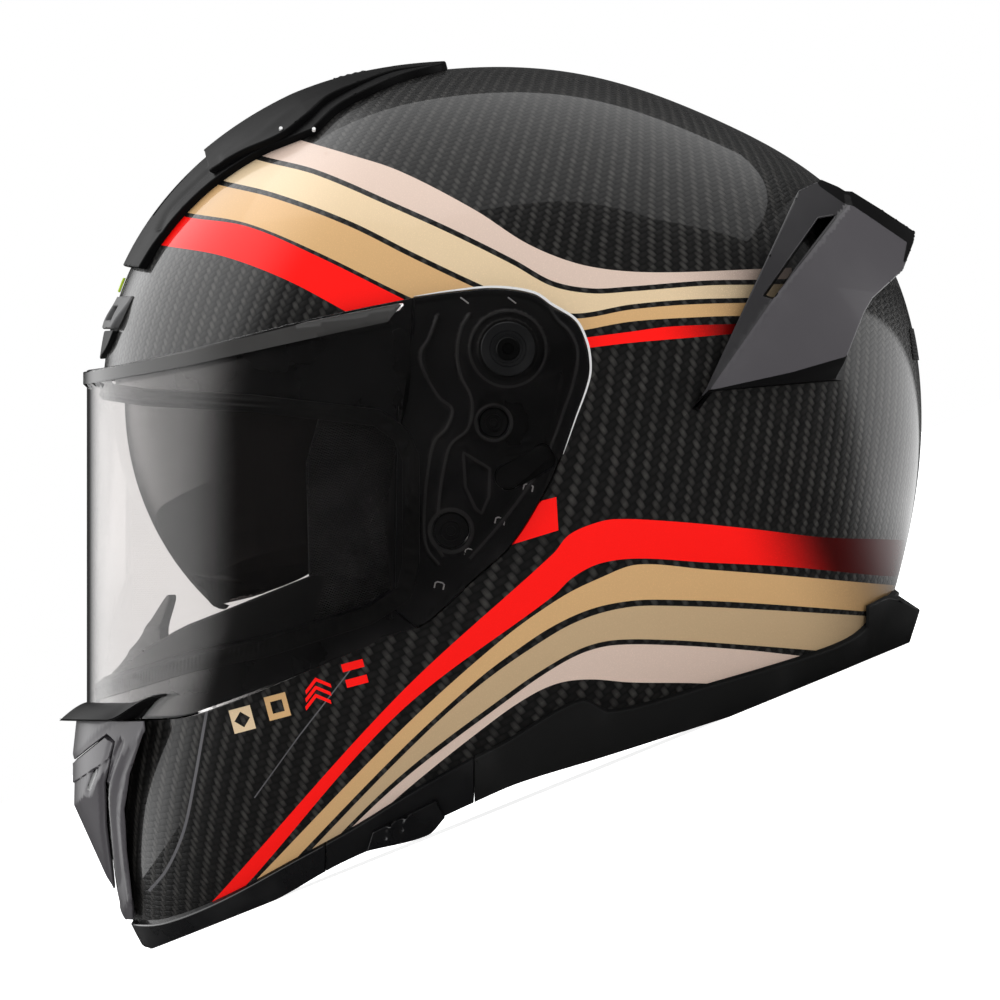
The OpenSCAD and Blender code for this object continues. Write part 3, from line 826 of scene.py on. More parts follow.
class PartTree(Nodes):
    """A Geometry Nodes tree that turns a guide's lines into small solid parts."""

    prefix = ""

    def __init__(self, name: str, **sizes: float) -> None:
        """Starts the tree.

        Args:
            name: The tree's name.
            sizes: Its named inputs, in metres or as plain numbers.
        """
        super().__init__(bpy.data.node_groups.new(name, "GeometryNodeTree"))
        self.tree.interface.new_socket("Guide", in_out="INPUT", socket_type="NodeSocketGeometry")
        self.tree.interface.new_socket("Parts", in_out="OUTPUT", socket_type="NodeSocketGeometry")
        self.values: dict[str, float] = {}
        for size, value in sizes.items():
            item = self.tree.interface.new_socket(size, in_out="INPUT", socket_type="NodeSocketFloat")
            self.values[item.identifier] = value
        self.source = self.tree.nodes.new("NodeGroupInput").outputs
        self.curve = self.node("GeometryNodeMeshToCurve", {0: self.source["Guide"]})

    def finish(self, parts: Socket, material: bpy.types.Material) -> None:
        """Ends the tree with real geometry and its material.

        Args:
            parts: The geometry.
            material: Its material.
        """
        real = self.node("GeometryNodeRealizeInstances", {0: parts})
        dressed = self.node("GeometryNodeSetMaterial", {"Geometry": real, "Material": material})
        self.tree.links.new(dressed, self.tree.nodes.new("NodeGroupOutput").inputs[0])

    def run(self, lines: Sequence[Points], name: str) -> bpy.types.Object:
        """Lays the parts along lines.

        Args:
            lines: Worn points of each line.
            name: The piece's name.

        Returns:
            The plain mesh object that the tree makes.
        """
        item = guide(name + "_guide", lines)
        modifier = item.modifiers.new("Parts", "NODES")
        modifier.node_group = self.tree
        for identifier, value in self.values.items():
            modifier[identifier] = value
        shaped = item.evaluated_get(bpy.context.evaluated_depsgraph_get())
        mesh = bpy.data.meshes.new_from_object(shaped)
        item.modifiers.remove(modifier)
        bpy.data.objects.remove(item)
        mesh.name = name
        return placed(name, mesh)


def rod_tree(name: str, material: bpy.types.Material, pitch: float, length: float, width: float) -> PartTree:
    """A tree that lays short round rods end to end along a line, as stitches or clips.

    Args:
        name: The tree's name.
        material: The rods' finish.
        pitch: Distance from one rod to the next, in millimetres.
        length: A rod's length, in millimetres.
        width: A rod's width, in millimetres.

    Returns:
        The tree.
    """
    t = PartTree(name, Pitch=pitch * MM, Length=length * MM, Width=width * MM)
    points = t.node("GeometryNodeResampleCurve", {"Curve": t.curve, "Length": t.source["Pitch"]}, mode="LENGTH")
    rod = t.node("GeometryNodeMeshCylinder", {"Vertices": 8, "Radius": 0.5, "Depth": 1.0})
    tangent = t.node("GeometryNodeInputTangent", {})
    turned = t.node("FunctionNodeAlignRotationToVector", {"Vector": tangent}, axis="Z")
    scale = t.node("ShaderNodeCombineXYZ", {0: t.source["Width"], 1: t.source["Width"], 2: t.source["Length"]})
    rods = t.node("GeometryNodeInstanceOnPoints", {"Points": points, "Instance": rod, "Rotation": turned,
                                                   "Scale": scale})
    t.finish(rods, material)
    return t


def wire_tree(name: str, material: bpy.types.Material, width: float) -> PartTree:
    """A tree that sweeps a thin round wire along every line.

    Args:
        name: The tree's name.
        material: The wire's finish.
        width: The wire's width, in millimetres.

    Returns:
        The tree.
    """
    t = PartTree(name, Width=width * MM)
    radius = t.node("ShaderNodeMath", {0: t.source["Width"], 1: 0.5}, operation="MULTIPLY")
    ring = t.node("GeometryNodeCurvePrimitiveCircle", {"Resolution": 6, "Radius": radius})
    wires = t.node("GeometryNodeCurveToMesh", {"Curve": t.curve, "Profile Curve": ring, "Fill Caps": True})
    t.finish(wires, material)
    return t


def crossed(outline: Points, pitch: float, lift: Rule) -> list[Points]:
    """Slanted lines both ways that fill an outline, laid on a surface.

    Args:
        outline: The closed outline, in the view that lift reads.
        pitch: Distance between two lines.
        lift: Turns points of the view into worn points.

    Returns:
        The worn points of each line.
    """
    centre = outline.mean(0)
    reach = np.linalg.norm(outline - centre, axis=1).max()
    found = []
    for turn in np.radians([45, 135]):
        way, out = np.array([math.cos(turn), math.sin(turn)]), np.array([-math.sin(turn), math.cos(turn)])
        for offset in np.arange(-reach, reach, pitch):
            run = centre + out * offset + way * np.arange(-reach, reach, pitch / 2)[:, None]
            run = run[inside(run, outline)]
            if len(run) > 2:
                found.append(lift(run))
    return found


# Finishes


class Shader(Nodes):
    """One material's node tree, with the steps that the finishes share."""

    def __init__(self, name: str) -> None:
        """Starts the material with a plain surface.

        Args:
            name: The material's name.
        """
        self.material = bpy.data.materials.new(name)
        self.material.use_nodes = True
        super().__init__(self.material.node_tree)
        self.surface = self.tree.nodes["Principled BSDF"]

    def set(self, **values: Wire) -> None:
        """Sets the surface's sockets by their names, with _ for a space."""
        for name, value in values.items():
            self.wire(self.surface.inputs[name.replace("_", " ")], value)

    def mix(self, share: Wire, a: Wire, b: Wire) -> Socket:
        """Mixes two colours."""
        return self.node("Mix", {0: share, 6: a, 7: b}, 2, data_type="RGBA")

    def pick(self, first: Wire, a: Wire, b: Wire) -> Socket:
        """Takes a where first is 1, and b where it is 0."""
        return self.node("Mix", {0: first, 2: b, 3: a}, data_type="FLOAT")

    def place(self) -> Socket:
        """The place on the object, in metres."""
        return self.node("TexCoord", output="Object")

    def noise(self, place: Wire, scale: float, detail: float = 2.0, stretch: Colour = (1, 1, 1)) -> Socket:
        """A cloudy value, drawn out along the axes by stretch."""
        turned = self.node("Mapping", {0: place, 3: stretch})
        return self.node("TexNoise", {"Vector": turned, "Scale": scale, "Detail": detail})

    def bump(self, height: Wire, distance: float) -> Socket:
        """A bumped normal, whose relief is distance high in metres."""
        return self.node("Bump", {"Height": height, "Distance": distance, "Strength": 1.0})


@dataclass(frozen=True)
class Moulded:
    """Moulded plastic, rubber or mesh cloth with a fine grain and a thin film of dust."""

    name: str
    colour: Colour
    roughness: float
    grain: float = 0.00002
    scale: float = 1400.0
    coat: float = 0.0
    dust: float = 0.02
    shine: float = 0.35

    def material(self) -> bpy.types.Material:
        """Makes the material.

        Returns:
            The material.
        """
        s = Shader(self.name)
        place = s.place()
        dust = s.noise(place, 45.0, 6.0)
        grain = s.noise(place, self.scale, 1.0)
        pale = tuple(min(1.0, c + self.dust * 0.35) for c in self.colour)
        s.set(Base_Color=s.mix(s.ramp(dust, 0.45, 0.8), self.colour, pale),
              Roughness=s.ramp(dust, 0.3, 0.8, self.roughness, min(1.0, self.roughness + 0.08)),
              Normal=s.bump(grain, self.grain), Coat_Weight=self.coat, Coat_Roughness=0.03, Coat_IOR=1.4,
              Specular_IOR_Level=self.shine)
        return s.material


@dataclass(frozen=True)
class CarbonTwill:
    """Two by two carbon twill under clear lacquer.

    The weave follows the piece's own map, in millimetres, turned so that its ridges run steeply. Its colour is
    painted light: a painted sheen on cells with the warp on top, less on the weft, and painted shade across each
    tow and at its ends.
    """

    name: str
    tow: float = 1.9
    turn: float = math.radians(32)
    # The weave's colour runs from dark, its painted shade, to light, its painted sheen.
    dark: Colour = (0.0022, 0.0022, 0.0024)
    light: Colour = (0.062, 0.059, 0.055)

    def material(self) -> bpy.types.Material:
        """Makes the material.

        Returns:
            The material.
        """
        s = Shader(self.name)
        size = 1 / self.tow
        weave = s.node("UVMap", uv_map="Weave")
        laid = s.node("Mapping", {0: weave, 2: (0, 0, self.turn), 3: (-size, size, size)})
        x, y = s.outputs("SeparateXYZ", {0: laid})[:2]
        column, row = s.math("FLOOR", x), s.math("FLOOR", y)
        across, along = s.math("FRACT", x), s.math("FRACT", y)
        step = s.math("FLOORED_MODULO", s.math("ADD", column, row), 4.0)
        warp = s.math("LESS_THAN", step, 2.0)
        warp_run = s.math("MULTIPLY", s.math("ADD", along, step), 0.5)
        weft_run = s.math("MULTIPLY", s.math("ADD", across, s.math("SUBTRACT", step, 2.0)), 0.5)
        run = s.pick(warp, warp_run, weft_run)
        side = s.pick(warp, across, along)
        # Painted shade across each tow, and towards its ends where it passes under the next one.
        crown = s.math("SINE", s.math("MULTIPLY", side, math.pi))
        dive_shade = s.math("SINE", s.math("MULTIPLY", run, math.pi))
        fibre_long = s.noise(laid, 9.0, 2.0, (1.6, 0.08, 1))
        fibre_wide = s.noise(laid, 9.0, 2.0, (0.08, 1.6, 1))
        fibre = s.pick(warp, fibre_long, fibre_wide)
        shade = s.math("MULTIPLY", s.math("POWER", crown, 0.5), s.math("POWER", dive_shade, 0.7))
        cell = s.node("TexWhiteNoise", {0: s.node("CombineXYZ", {0: column, 1: row})}, noise_dimensions="2D")
        # Painted sheen: cells with the warp on top show brighter than those with the weft on top.
        sheen = s.pick(warp, 1.0, 0.22)
        glow = s.math("MULTIPLY", s.math("MULTIPLY", shade, sheen),
                      s.math("ADD", s.math("MULTIPLY", fibre, 0.9), s.math("MULTIPLY", cell, 0.5)))
        height = s.math("ADD", s.math("MULTIPLY", shade, 0.8), s.math("MULTIPLY", fibre, 0.15))
        s.set(Base_Color=s.mix(glow, self.dark, self.light), Roughness=s.ramp(fibre, 0.2, 0.8, 0.3, 0.45),
              Metallic=0.35, Normal=s.bump(height, 0.00012), Coat_Weight=1.0, Coat_Roughness=0.025,
              Coat_IOR=1.4, Specular_IOR_Level=0.4)
        return s.material


@dataclass(frozen=True)
class StripePaint:
    """A lacquered stripe of metal flake paint, which darkens towards the back of the helmet."""

    name: str
    colour: Colour
    metal: float = 0.2
    fade: Pair = (0.085, 0.14)
    dark: float = 0.12
    shine: float = 0.4

    def material(self) -> bpy.types.Material:
        """Makes the material.

        Returns:
            The material.
        """
        s = Shader(self.name)
        place = s.place()
        back = s.node("SeparateXYZ", {0: place}, 1)
        flake = s.noise(place, 2600.0, 1.0)
        cloud = s.noise(place, 14.0, 2.0)
        deep = tuple(c * self.dark for c in self.colour)
        faded = s.mix(s.ramp(back, *self.fade), self.colour, deep)
        bright = tuple(min(1.0, c * 1.18) for c in self.colour)
        sparkle = s.mix(s.math("MULTIPLY", s.ramp(flake, 0.5, 0.75), s.ramp(back, *self.fade, 0.5, 0.0)),
                        faded, bright)
        s.set(Base_Color=sparkle, Metallic=self.metal, Roughness=s.ramp(cloud, 0.3, 0.7, 0.34, 0.42),
              Normal=s.bump(flake, 0.000008), Coat_Weight=1.0, Coat_Roughness=0.025, Coat_IOR=1.35,
              Specular_IOR_Level=self.shine)
        return s.material


@dataclass(frozen=True)
class Sheet:
    """Clear or smoked polycarbonate."""

    name: str
    colour: Colour
    haze: float = 0.0

    def material(self) -> bpy.types.Material:
        """Makes the material.

        Returns:
            The material.
        """
        s = Shader(self.name)
        smear = s.noise(s.place(), 30.0, 5.0)
        dusty = tuple(c * 0.97 for c in self.colour)
        s.set(Base_Color=s.mix(s.ramp(smear, 0.4, 0.8), self.colour, dusty), Roughness=0.0, IOR=1.45,
              Transmission_Weight=1 - self.haze)
        return s.material


@dataclass(frozen=True)
class Woven:
    """Soft cloth or webbing: small raised threads and a short nap."""

    name: str
    colour: Colour
    pitch: float = 0.0011
    depth: float = 0.00015
    sheen: float = 0.3

    def material(self) -> bpy.types.Material:
        """Makes the material.

        Returns:
            The material.
        """
        s = Shader(self.name)
        place = s.place()
        waves = [s.math("SINE", s.math("MULTIPLY", part, 2 * math.pi / self.pitch))
                 for part in s.outputs("SeparateXYZ", {0: place})]
        threads = s.math("MULTIPLY", s.math("ADD", waves[0], waves[1]), waves[2])
        nap = s.noise(place, 60.0, 5.0)
        pale = tuple(min(1.0, c * 1.5 + 0.01) for c in self.colour)
        s.set(Base_Color=s.mix(s.ramp(nap, 0.35, 0.75), self.colour, pale), Roughness=0.95,
              Normal=s.bump(threads, self.depth), Sheen_Weight=self.sheen, Sheen_Roughness=0.5)
        return s.material


@dataclass(frozen=True)
class Brushed:
    """Brushed steel, with streaks that run round or along the piece."""

    name: str
    colour: Colour = (0.5, 0.5, 0.51)
    roughness: float = 0.28

    def material(self) -> bpy.types.Material:
        """Makes the material.

        Returns:
            The material.
        """
        s = Shader(self.name)
        streak = s.noise(s.place(), 900.0, 2.0, (0.05, 1, 1))
        s.set(Base_Color=self.colour, Metallic=1.0, Normal=s.bump(streak, 0.00001),
              Roughness=s.ramp(streak, 0.3, 0.7, self.roughness, self.roughness + 0.15))
        return s.material


class Palette:
    """Every finish of the helmet, made once."""

    def __init__(self) -> None:
        """Makes the materials."""
        self.carbon = CarbonTwill("carbon_twill").material()
        self.red = StripePaint("red_stripe", (0.92, 0.006, 0.004), 0.0, (0.076, 0.108), 0.04, 0.08).material()
        self.gold = StripePaint("gold_stripe", (0.68, 0.42, 0.19)).material()
        self.sand = StripePaint("sand_stripe", (0.78, 0.6, 0.38)).material()
        self.khaki = StripePaint("khaki_stripe", (0.56, 0.4, 0.23)).material()
        self.rose = StripePaint("rose_stripe", (0.72, 0.56, 0.47)).material()
        self.gloss = Moulded("gloss_black_plastic", (0.004, 0.004, 0.0045), 0.25, 0.000001, 2500.0, 1.0).material()
        self.satin = Moulded("satin_black_plastic", (0.005, 0.005, 0.0055), 0.33, 0.000002, 2500.0, 0.5).material()
        self.graphite = Moulded("graphite_plastic", (0.066, 0.062, 0.068), 0.3, 0.000001, 2500.0, 0.25).material()
        self.slate = Moulded("dark_graphite_plastic", (0.026, 0.025, 0.027), 0.3, 0.000001, 2500.0, 0.5).material()
        # Pale grey for the recess clips, and for two strokes that are painted highlights.
        self.clip = Moulded("bright_clip", (0.42, 0.42, 0.42), 0.3, 0.000001, coat=0.5).material()
        self.thread = Woven("grey_thread", (0.05, 0.05, 0.052), 0.0006).material()
        self.deep = Moulded("deep_black_plastic", (0.0035, 0.0034, 0.0036), 0.4, 0.000002, 1800.0,
                            dust=0.004, shine=0.12).material()
        # Pale grey lines on the chin: painted highlights.
        self.crease = Moulded("pale_crease", (0.1, 0.098, 0.105), 0.3, 0.0, 1800.0, 1.0).material()
        # Lighter black for the side plates' ribs: a painted highlight along their edges.
        self.ribs = Moulded("satin_black_ribs", (0.03, 0.03, 0.031), 0.33, 0.000001, 2500.0, 0.5).material()
        self.matte = Moulded("matt_black_plastic", (0.008, 0.008, 0.008), 0.5, 0.000008, 2200.0).material()
        self.rubber = Moulded("black_rubber", (0.006, 0.006, 0.006), 0.45, 0.000004, 2200.0).material()
        self.grey = Moulded("satin_grey_plastic", (0.13, 0.13, 0.132), 0.4).material()
        self.rib = Moulded("smoked_rib", (0.035, 0.034, 0.033), 0.28, 0.000004, 300.0, 0.8).material()
        self.green = Moulded("yellow_green_plastic", (0.5, 0.68, 0.04), 0.3, coat=0.5).material()
        self.lever_red = Moulded("red_plastic", (0.5, 0.02, 0.015), 0.35).material()
        self.foam = Moulded("black_foam", (0.006, 0.006, 0.006), 0.9, 0.00015, 500.0).material()
        self.lining = Woven("brushed_lining", (0.006, 0.006, 0.0065), sheen=0.05).material()
        self.webbing = Woven("black_webbing", (0.012, 0.012, 0.012), 0.0016, 0.0003, 0.1).material()
        self.clear = Sheet("clear_polycarbonate", (0.865, 0.842, 0.832)).material()
        self.smoke = Sheet("smoke_polycarbonate", (0.055, 0.05, 0.048), 0.2).material()
        # Pale grey: a painted highlight strip along the side plates' recess, and the crown vent's rivets.
        self.bevel = Moulded("polished_bevel", (0.75, 0.75, 0.75), 0.3, 0.000001, coat=1.0).material()
        self.steel = Brushed("brushed_steel").material()
        self.dark_steel = Brushed("black_steel", (0.03, 0.03, 0.03), 0.35).material()


# Lines that several pieces share


HALVINGS = 42
FAR_FRONT = -260.0
CROWN_END = 0.2
SPREAD_MOST = 4.0


def crowned(line: Line, reach: float = 320.0) -> Points:
    """Closes a line that runs from front to back with an arc over the whole helmet.

    Args:
        line: The line, in the side view.
        reach: Radius of the arc, past every surface.

    Returns:
        The closed outline of everything above the line.
    """
    low = curved(line, closed=False)
    front = math.atan2(low[0, 1], -low[0, 0])
    back = math.atan2(low[-1, 1], -low[-1, 0]) % (2 * math.pi)
    angle = np.arange(back, front, -math.radians(1.0))
    return np.concatenate([low, np.stack([-reach * np.cos(angle), reach * np.sin(angle)], 1)])


def band(top: Line, bottom: Line) -> Points:
    """Outline between two smooth lines that run the same way."""
    return np.concatenate([curved(top, closed=False), curved(bottom, closed=False)[::-1]])


def beside(line: Line, gap: float) -> list[Pair]:
    """Moves an open line of the photograph downwards, square to itself."""
    pts = np.array(line, float)
    return [tuple(p) for p in pts + gap * sideways(pts)]


def on_side(form: Form, line: Points, depth: float, side: Side) -> Points:
    """Lays side view points on one side of a form's layer.

    Args:
        form: The form.
        line: The points, back and up.
        depth: The form's layer.
        side: The left or the right.

    Returns:
        The worn points.
    """
    y, z = line.T
    return np.stack([side.value * half_width_at(form, y, z, depth), y, z], 1)


def reached(low: Points, high: Points, held: Rule) -> Points:
    """Finds by halving how far a condition holds.

    Args:
        low: Values for which it holds.
        high: Values for which it doesn't.
        held: Tells for which values it holds.

    Returns:
        The last values for which it holds.
    """
    for _ in range(HALVINGS):
        middle = (low + high) / 2
        holds = held(middle)
        low, high = np.where(holds, middle, low), np.where(holds, high, middle)
    return low


def half_width_at(form: Form, y: Points, z: Points, depth: Points | float = 0.0) -> Points:
    """Distance of a form's layer from the middle plane, at places of the side view.

    Args:
        form: The form.
        y: How far back each place lies.
        z: How high each place lies.
        depth: The layer's distance outside the form.

    Returns:
        One distance for each place.
    """
    dy, dz = y - form.centre[0], z - form.centre[1]
    share = np.hypot(dy, dz) / (form.radius(np.arctan2(dz, -dy)) + depth)
    return (form.half_width + depth) * np.clip(1 - share**form.round_y, 0, None) ** (1 / form.round_x)


def front_at(form: Form, x: Points, z: Points, depth: float = 0.0) -> Points:
    """How far forward a form's layer stands, over places of the front view."""
    return reached(np.full(np.shape(z), form.centre[0]), np.full(np.shape(z), FAR_FRONT),
                   lambda y: half_width_at(form, y, z, depth) > np.abs(x))


def turn_at(form: Form, x: Points) -> tuple[Points, Points]:
    """The chart's turn from the side at distances across, and the share of the radius there."""
    t = np.arccos(np.clip(np.abs(x) / form.half_width, 0, 1) ** (form.round_x / 2))
    return t, np.sin(t) ** (2 / form.round_y)


def on_chart(turn: Points, angle: Points) -> Points:
    """The chart's points at turns from the side, in the directions of angles up from the front."""
    return turn[:, None] * np.stack([-np.cos(angle), np.sin(angle)], 1)


def front_chart(form: Form, line: Points, back: bool = False) -> Points:
    """Turns front view points of one half into the form's chart.

    Args:
        form: The form.
        line: The points, across and up.
        back: Whether they lie on the form's back.

    Returns:
        The points of the chart.
    """
    t, share = turn_at(form, line[:, 0])
    a = reached(np.full(len(t), -math.pi / 2), np.full(len(t), math.pi / 2), lambda a: share * form.radius(
        math.pi - a if back else a) * np.sin(a) + form.centre[1] < line[:, 1])
    return on_chart(t, math.pi - a if back else a)


def top_chart(form: Form, line: Points) -> Points:
    """Turns top view points of one half into the form's chart over its crown.

    Args:
        form: The form.
        line: The points, across and back.

    Returns:
        The points of the chart.
    """
    t, share = turn_at(form, line[:, 0])
    return on_chart(t, reached(np.full(len(t), CROWN_END), np.full(len(t), math.pi - CROWN_END),
                               lambda a: form.centre[0] - share * form.radius(a) * np.cos(a) < line[:, 1]))


def foot_on_shell(form: Form, turn_in: float, turned: float) -> Rule:
    """The shell beneath a raised form.

    Args:
        form: The raised form.
        turn_in: Up to this turn from the side, the foot lies straight across from the form's point.
        turned: From this turn on, it lies straight beneath it.

    Returns:
        A rule from the form's chart to worn points.
    """

    def foot(chart: Points) -> Points:
        """The foot of each point.

        Args:
            chart: The points of the chart.

        Returns:
            The worn points.
        """
        face, down = form.place(chart), SHELL.place(chart, 0.1)
        across = face.copy()
        across[:, 0] = half_width_at(SHELL, face[:, 1], face[:, 2], 0.1)
        share = eased(np.linalg.norm(chart, axis=1), turn_in, turned)[:, None]
        return across * (1 - share) + down * share

    return foot


def spread(points: Points, form: Form, depth: float) -> Points:
    """Moves points level and outwards, away from the upright axis.

    Args:
        points: The worn points.
        form: The form to reach.
        depth: The form's layer.

    Returns:
        The points on that layer.
    """
    x, y, z = points.T
    s = reached(np.ones(len(x)), np.full(len(x), SPREAD_MOST),
                lambda s: half_width_at(form, s * y, z, depth) > s * np.abs(x))
    return np.stack([x * s, y * s, z], 1)


def ridge(line: Line, width: float, height: float, closed: bool = False) -> Rule:
    """A rounded rib along a line of the side view, as a rule of the worn place."""
    path = curved(line, closed=closed, step=3.0)
    return lambda p: height * np.exp(-((distance_to(p[:, 1:], path, closed) / width) ** 2))


def ribbon(line: Points, half: float) -> Points:
    """Outline of a strip along an open line."""
    out = sideways(line) * half
    return np.concatenate([line + out, (line - out)[::-1]])


def hull(points: Points) -> Points:
    """The smallest outline without hollows.

    Args:
        points: The points that it goes round.

    Returns:
        Its corners.
    """
    order = sorted(map(tuple, points))
    turns: list[list[Pair]] = []
    for run in (order, order[::-1]):
        chain: list[Pair] = []
        for p in run:
            while len(chain) > 1 and ((chain[-1][0] - chain[-2][0]) * (p[1] - chain[-2][1])
                                      - (chain[-1][1] - chain[-2][1]) * (p[0] - chain[-2][0])) <= 0:
                chain.pop()
            chain.append(p)
        turns.append(chain[:-1])
    return np.array(turns[0] + turns[1])


def together(*rules: Rule) -> Rule:
    """The sum of several reliefs."""
    return lambda p: sum(rule(p) for rule in rules)


EYEPORT = straight([(-175, -16), (-146, -17), (-127, -20), (-90, -22), (-47, -27), (-40, -32), (-37, -39),
                    (-37, -75), (-39, -84), (-50, -91), (-85, -102), (-113, -108), (-146, -118), (-175, -128)])
ARM: Line = [(-33, 18), (-18, 20), (-4, 21), (9, 19), (15, 15), (23, 10), (26, 5), (28, -2), (28, -10),
             (23, -25), (19, -37), (13, -50), (1, -69), (-13, -82), (-27, -95), (-32, -98)]
RIM: Line = [(-175, -203.5), (-135, -204.2), (-131.5, -208.2), (-127, -210.6), (-122, -210.6), (-109, -206),
             (-81, -193), (-60, -181), (-38, -171), (-10, -158), (4, -152), (33, -143), (61, -134), (89, -125),
             (118, -116), (175, -95)]
TRIM_TOP: Line = [(-175, -203), (-135, -202), (-122, -201.5), (-102, -194), (-74, -179), (-54, -168),
                  (-33, -155), (-15, -145), (-3, -139), (26, -123), (36, -127), (70, -118), (110, -106),
                  (123, -100), (133, -89), (137, -85), (175, -75)]
LINE_END = 175.0
SHELL_FRONT = FrontFace(lambda x, z: front_at(SHELL, x, z))
MESH_WIRE = 0.5
MESH_PITCH = 1.7
PLATE = np.concatenate([curved(ARM, closed=False), straight([(-40, -92), (-39, -20)])])


# Sub-assemblies


@dataclass
class Assembly:
    """A group of pieces that are made and dressed together."""

    palette: Palette
    made: list[bpy.types.Object] = field(default_factory=list)

    def keep(self, piece: bpy.types.Object, body: str, slot: str, *nodes: str) -> bpy.types.Object:
        """Puts a finished piece on its body and in its node's place.

        Args:
            piece: The piece.
            body: The body that it rides on.
            slot: The material slot that it belongs to; not used.
            nodes: The CAD nodes that it stands for.

        Returns:
            The piece.
        """
        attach(piece, body)
        if nodes:
            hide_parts(*nodes)
        self.made.append(piece)
        LOG.info("%s rides on %s", piece.name, body)
        return piece


class Coat(IntEnum):
    """The shell's finishes, in the order of its materials."""

    CARBON = 0
    RED = 1
    GOLD = 2
    SAND = 3
    KHAKI = 4
    ROSE = 5
    GLOSS = 6
    # Pale lines on the chin, which are painted highlights.
    CREASE = 7


@dataclass
class ShellWork(Assembly):
    """The carbon shell with its painted stripes and small marks."""

    wall: float = 3.0
    trim_lift: float = 4.3
    port_margin: float = 4.3
    stripe_gap: float = 5.0
    mark_turn: float = math.radians(-15)
    # Half widths of the chin's two pale lines, which are painted highlights.
    crease_half: float = 0.5
    scratch_half: float = 0.22
    edge_end: int = 11
    edge_gap: float = 0.35
    edge_least: float = 0.15
    edge_more: float = 0.8

    def paint(self) -> Regions:
        """The outlines of the painted regions, each with its finish's index, the last on top.

        Returns:
            The regions.
        """
        rose_low = [(250, 153), (266, 158), (319, 172), (400, 207), (457, 233), (515, 262), (553, 283), (591, 290),
                    (630, 288), (706, 282), (760, 281), (790, 280)]
        sand_low = [(208, 178), (225, 182), (277, 195), (351, 223), (415, 255), (478, 285), (520, 303), (572, 315),
                    (630, 306), (687, 301), (752, 299), (790, 298)]
        gold_low = [(176, 210), (191, 214), (249, 225), (319, 254), (411, 299), (480, 327), (540, 337), (580, 332),
                    (630, 323), (706, 318), (744, 317), (790, 316)]
        upper = [
            (Coat.ROSE,
             [(285, 136), (303, 142), (346, 155), (400, 173), (475, 212), (526, 245), (572, 264), (614, 272),
              (668, 274), (767, 270), (790, 269)], rose_low),
            (Coat.SAND,
             beside(rose_low, self.stripe_gap), sand_low),
            (Coat.GOLD,
             beside(sand_low, self.stripe_gap), gold_low),
            (Coat.RED,
             [(176, 214), (188, 218), (249, 228), (319, 258), (405, 301), (420, 308)],
             [(150, 243), (163, 246), (223, 257), (287, 281), (351, 315), (364, 322)]),
            (Coat.RED,
             [(560, 342), (584, 339), (630, 333), (668, 328), (737, 325), (780, 323)],
             [(560, 353), (589, 349), (630, 344), (687, 339), (733, 335), (780, 333)]),
        ]
        lower = [
            (Coat.RED,
             [(205, 908), (220, 893), (400, 693), (553, 553), (568, 535), (591, 524), (614, 519), (668, 521),
              (744, 528), (821, 537), (880, 539), (905, 540)],
             [(239, 892), (254, 876), (400, 711), (553, 595), (572, 577), (599, 563), (637, 558), (706, 562),
              (783, 566), (875, 575), (905, 577)]),
            (Coat.GOLD,
             [(250, 886), (262, 873), (400, 730), (500, 640), (560, 597), (600, 577), (637, 564), (706, 569),
              (783, 575), (870, 583), (905, 586)],
             [(270, 885), (400, 750), (477, 679), (515, 650), (553, 625), (591, 608), (630, 600), (668, 599),
              (744, 602), (878, 612), (905, 614)]),
            (Coat.KHAKI,
             [(276, 886), (400, 757), (477, 686), (553, 633), (591, 615), (630, 606), (668, 605), (744, 608),
              (873, 616), (905, 618)],
             [(300, 874), (400, 775), (515, 687), (553, 662), (584, 646), (614, 639), (668, 639), (744, 644),
              (817, 650), (860, 654)]),
            (Coat.ROSE,
             [(306, 872), (400, 781), (515, 693), (553, 667), (584, 651), (614, 644), (668, 644), (744, 649),
              (798, 655), (840, 660)],
             [(330, 861), (400, 794), (496, 717), (534, 692), (561, 681), (591, 678), (630, 681), (698, 682),
              (760, 686)]),
        ]
        wedge = (straight(seen([(500, 550), (509, 545), (558, 530), (556, 497), (536, 502)])), Coat.RED)
        dark = (visor_outline(), Coat.GLOSS)
        return [(band(seen(top), seen(low)), coat) for coat, top, low in upper + lower] + [wedge, dark]

    def mark(self, centre: Pair, shape: Line, coat: Coat) -> tuple[Points, int]:
        """One small plain mark on the chin.

        Args:
            centre: Its middle in the photograph.
            shape: Its corners about that middle, in pixels.
            coat: Its finish.

        Returns:
            The region for the panel.
        """
        cos, sin = math.cos(self.mark_turn), math.sin(self.mark_turn)
        turned = [(centre[0] + cos * u - sin * v, centre[1] + sin * u + cos * v) for u, v in shape]
        return straight(seen(turned), 0.8), coat

    def marks(self) -> Regions:
        """The four plain marks: two squares, a pair of chevrons and a third square.

        Returns:
            The outline and the finish of each region.
        """
        square = [(-11, -12), (11, -12), (11, 12), (-11, 12)]
        small = [(-6, -6), (6, -6), (6, 6), (-6, 6)]
        diamond = [(0, -8), (8, 0), (0, 8), (-8, 0)]
        chevron = [(-13, 5), (0, -5), (13, 5), (13, 9), (0, -1), (-13, 9)]
        found = [self.mark((244, 718), square, Coat.SAND), self.mark((244, 718), diamond, Coat.CARBON),
                 self.mark((279, 705), square, Coat.GOLD), self.mark((279, 705), small, Coat.CARBON)]
        found += [self.mark((318, v), chevron, Coat.RED) for v in (681, 689, 697)]
        bars = [[(-11, -12), (11, -12), (11, -4), (-11, -4)], [(-11, 4), (11, 4), (11, 12), (-11, 12)]]
        return found + [self.mark((356, 672), bar, Coat.RED) for bar in bars]

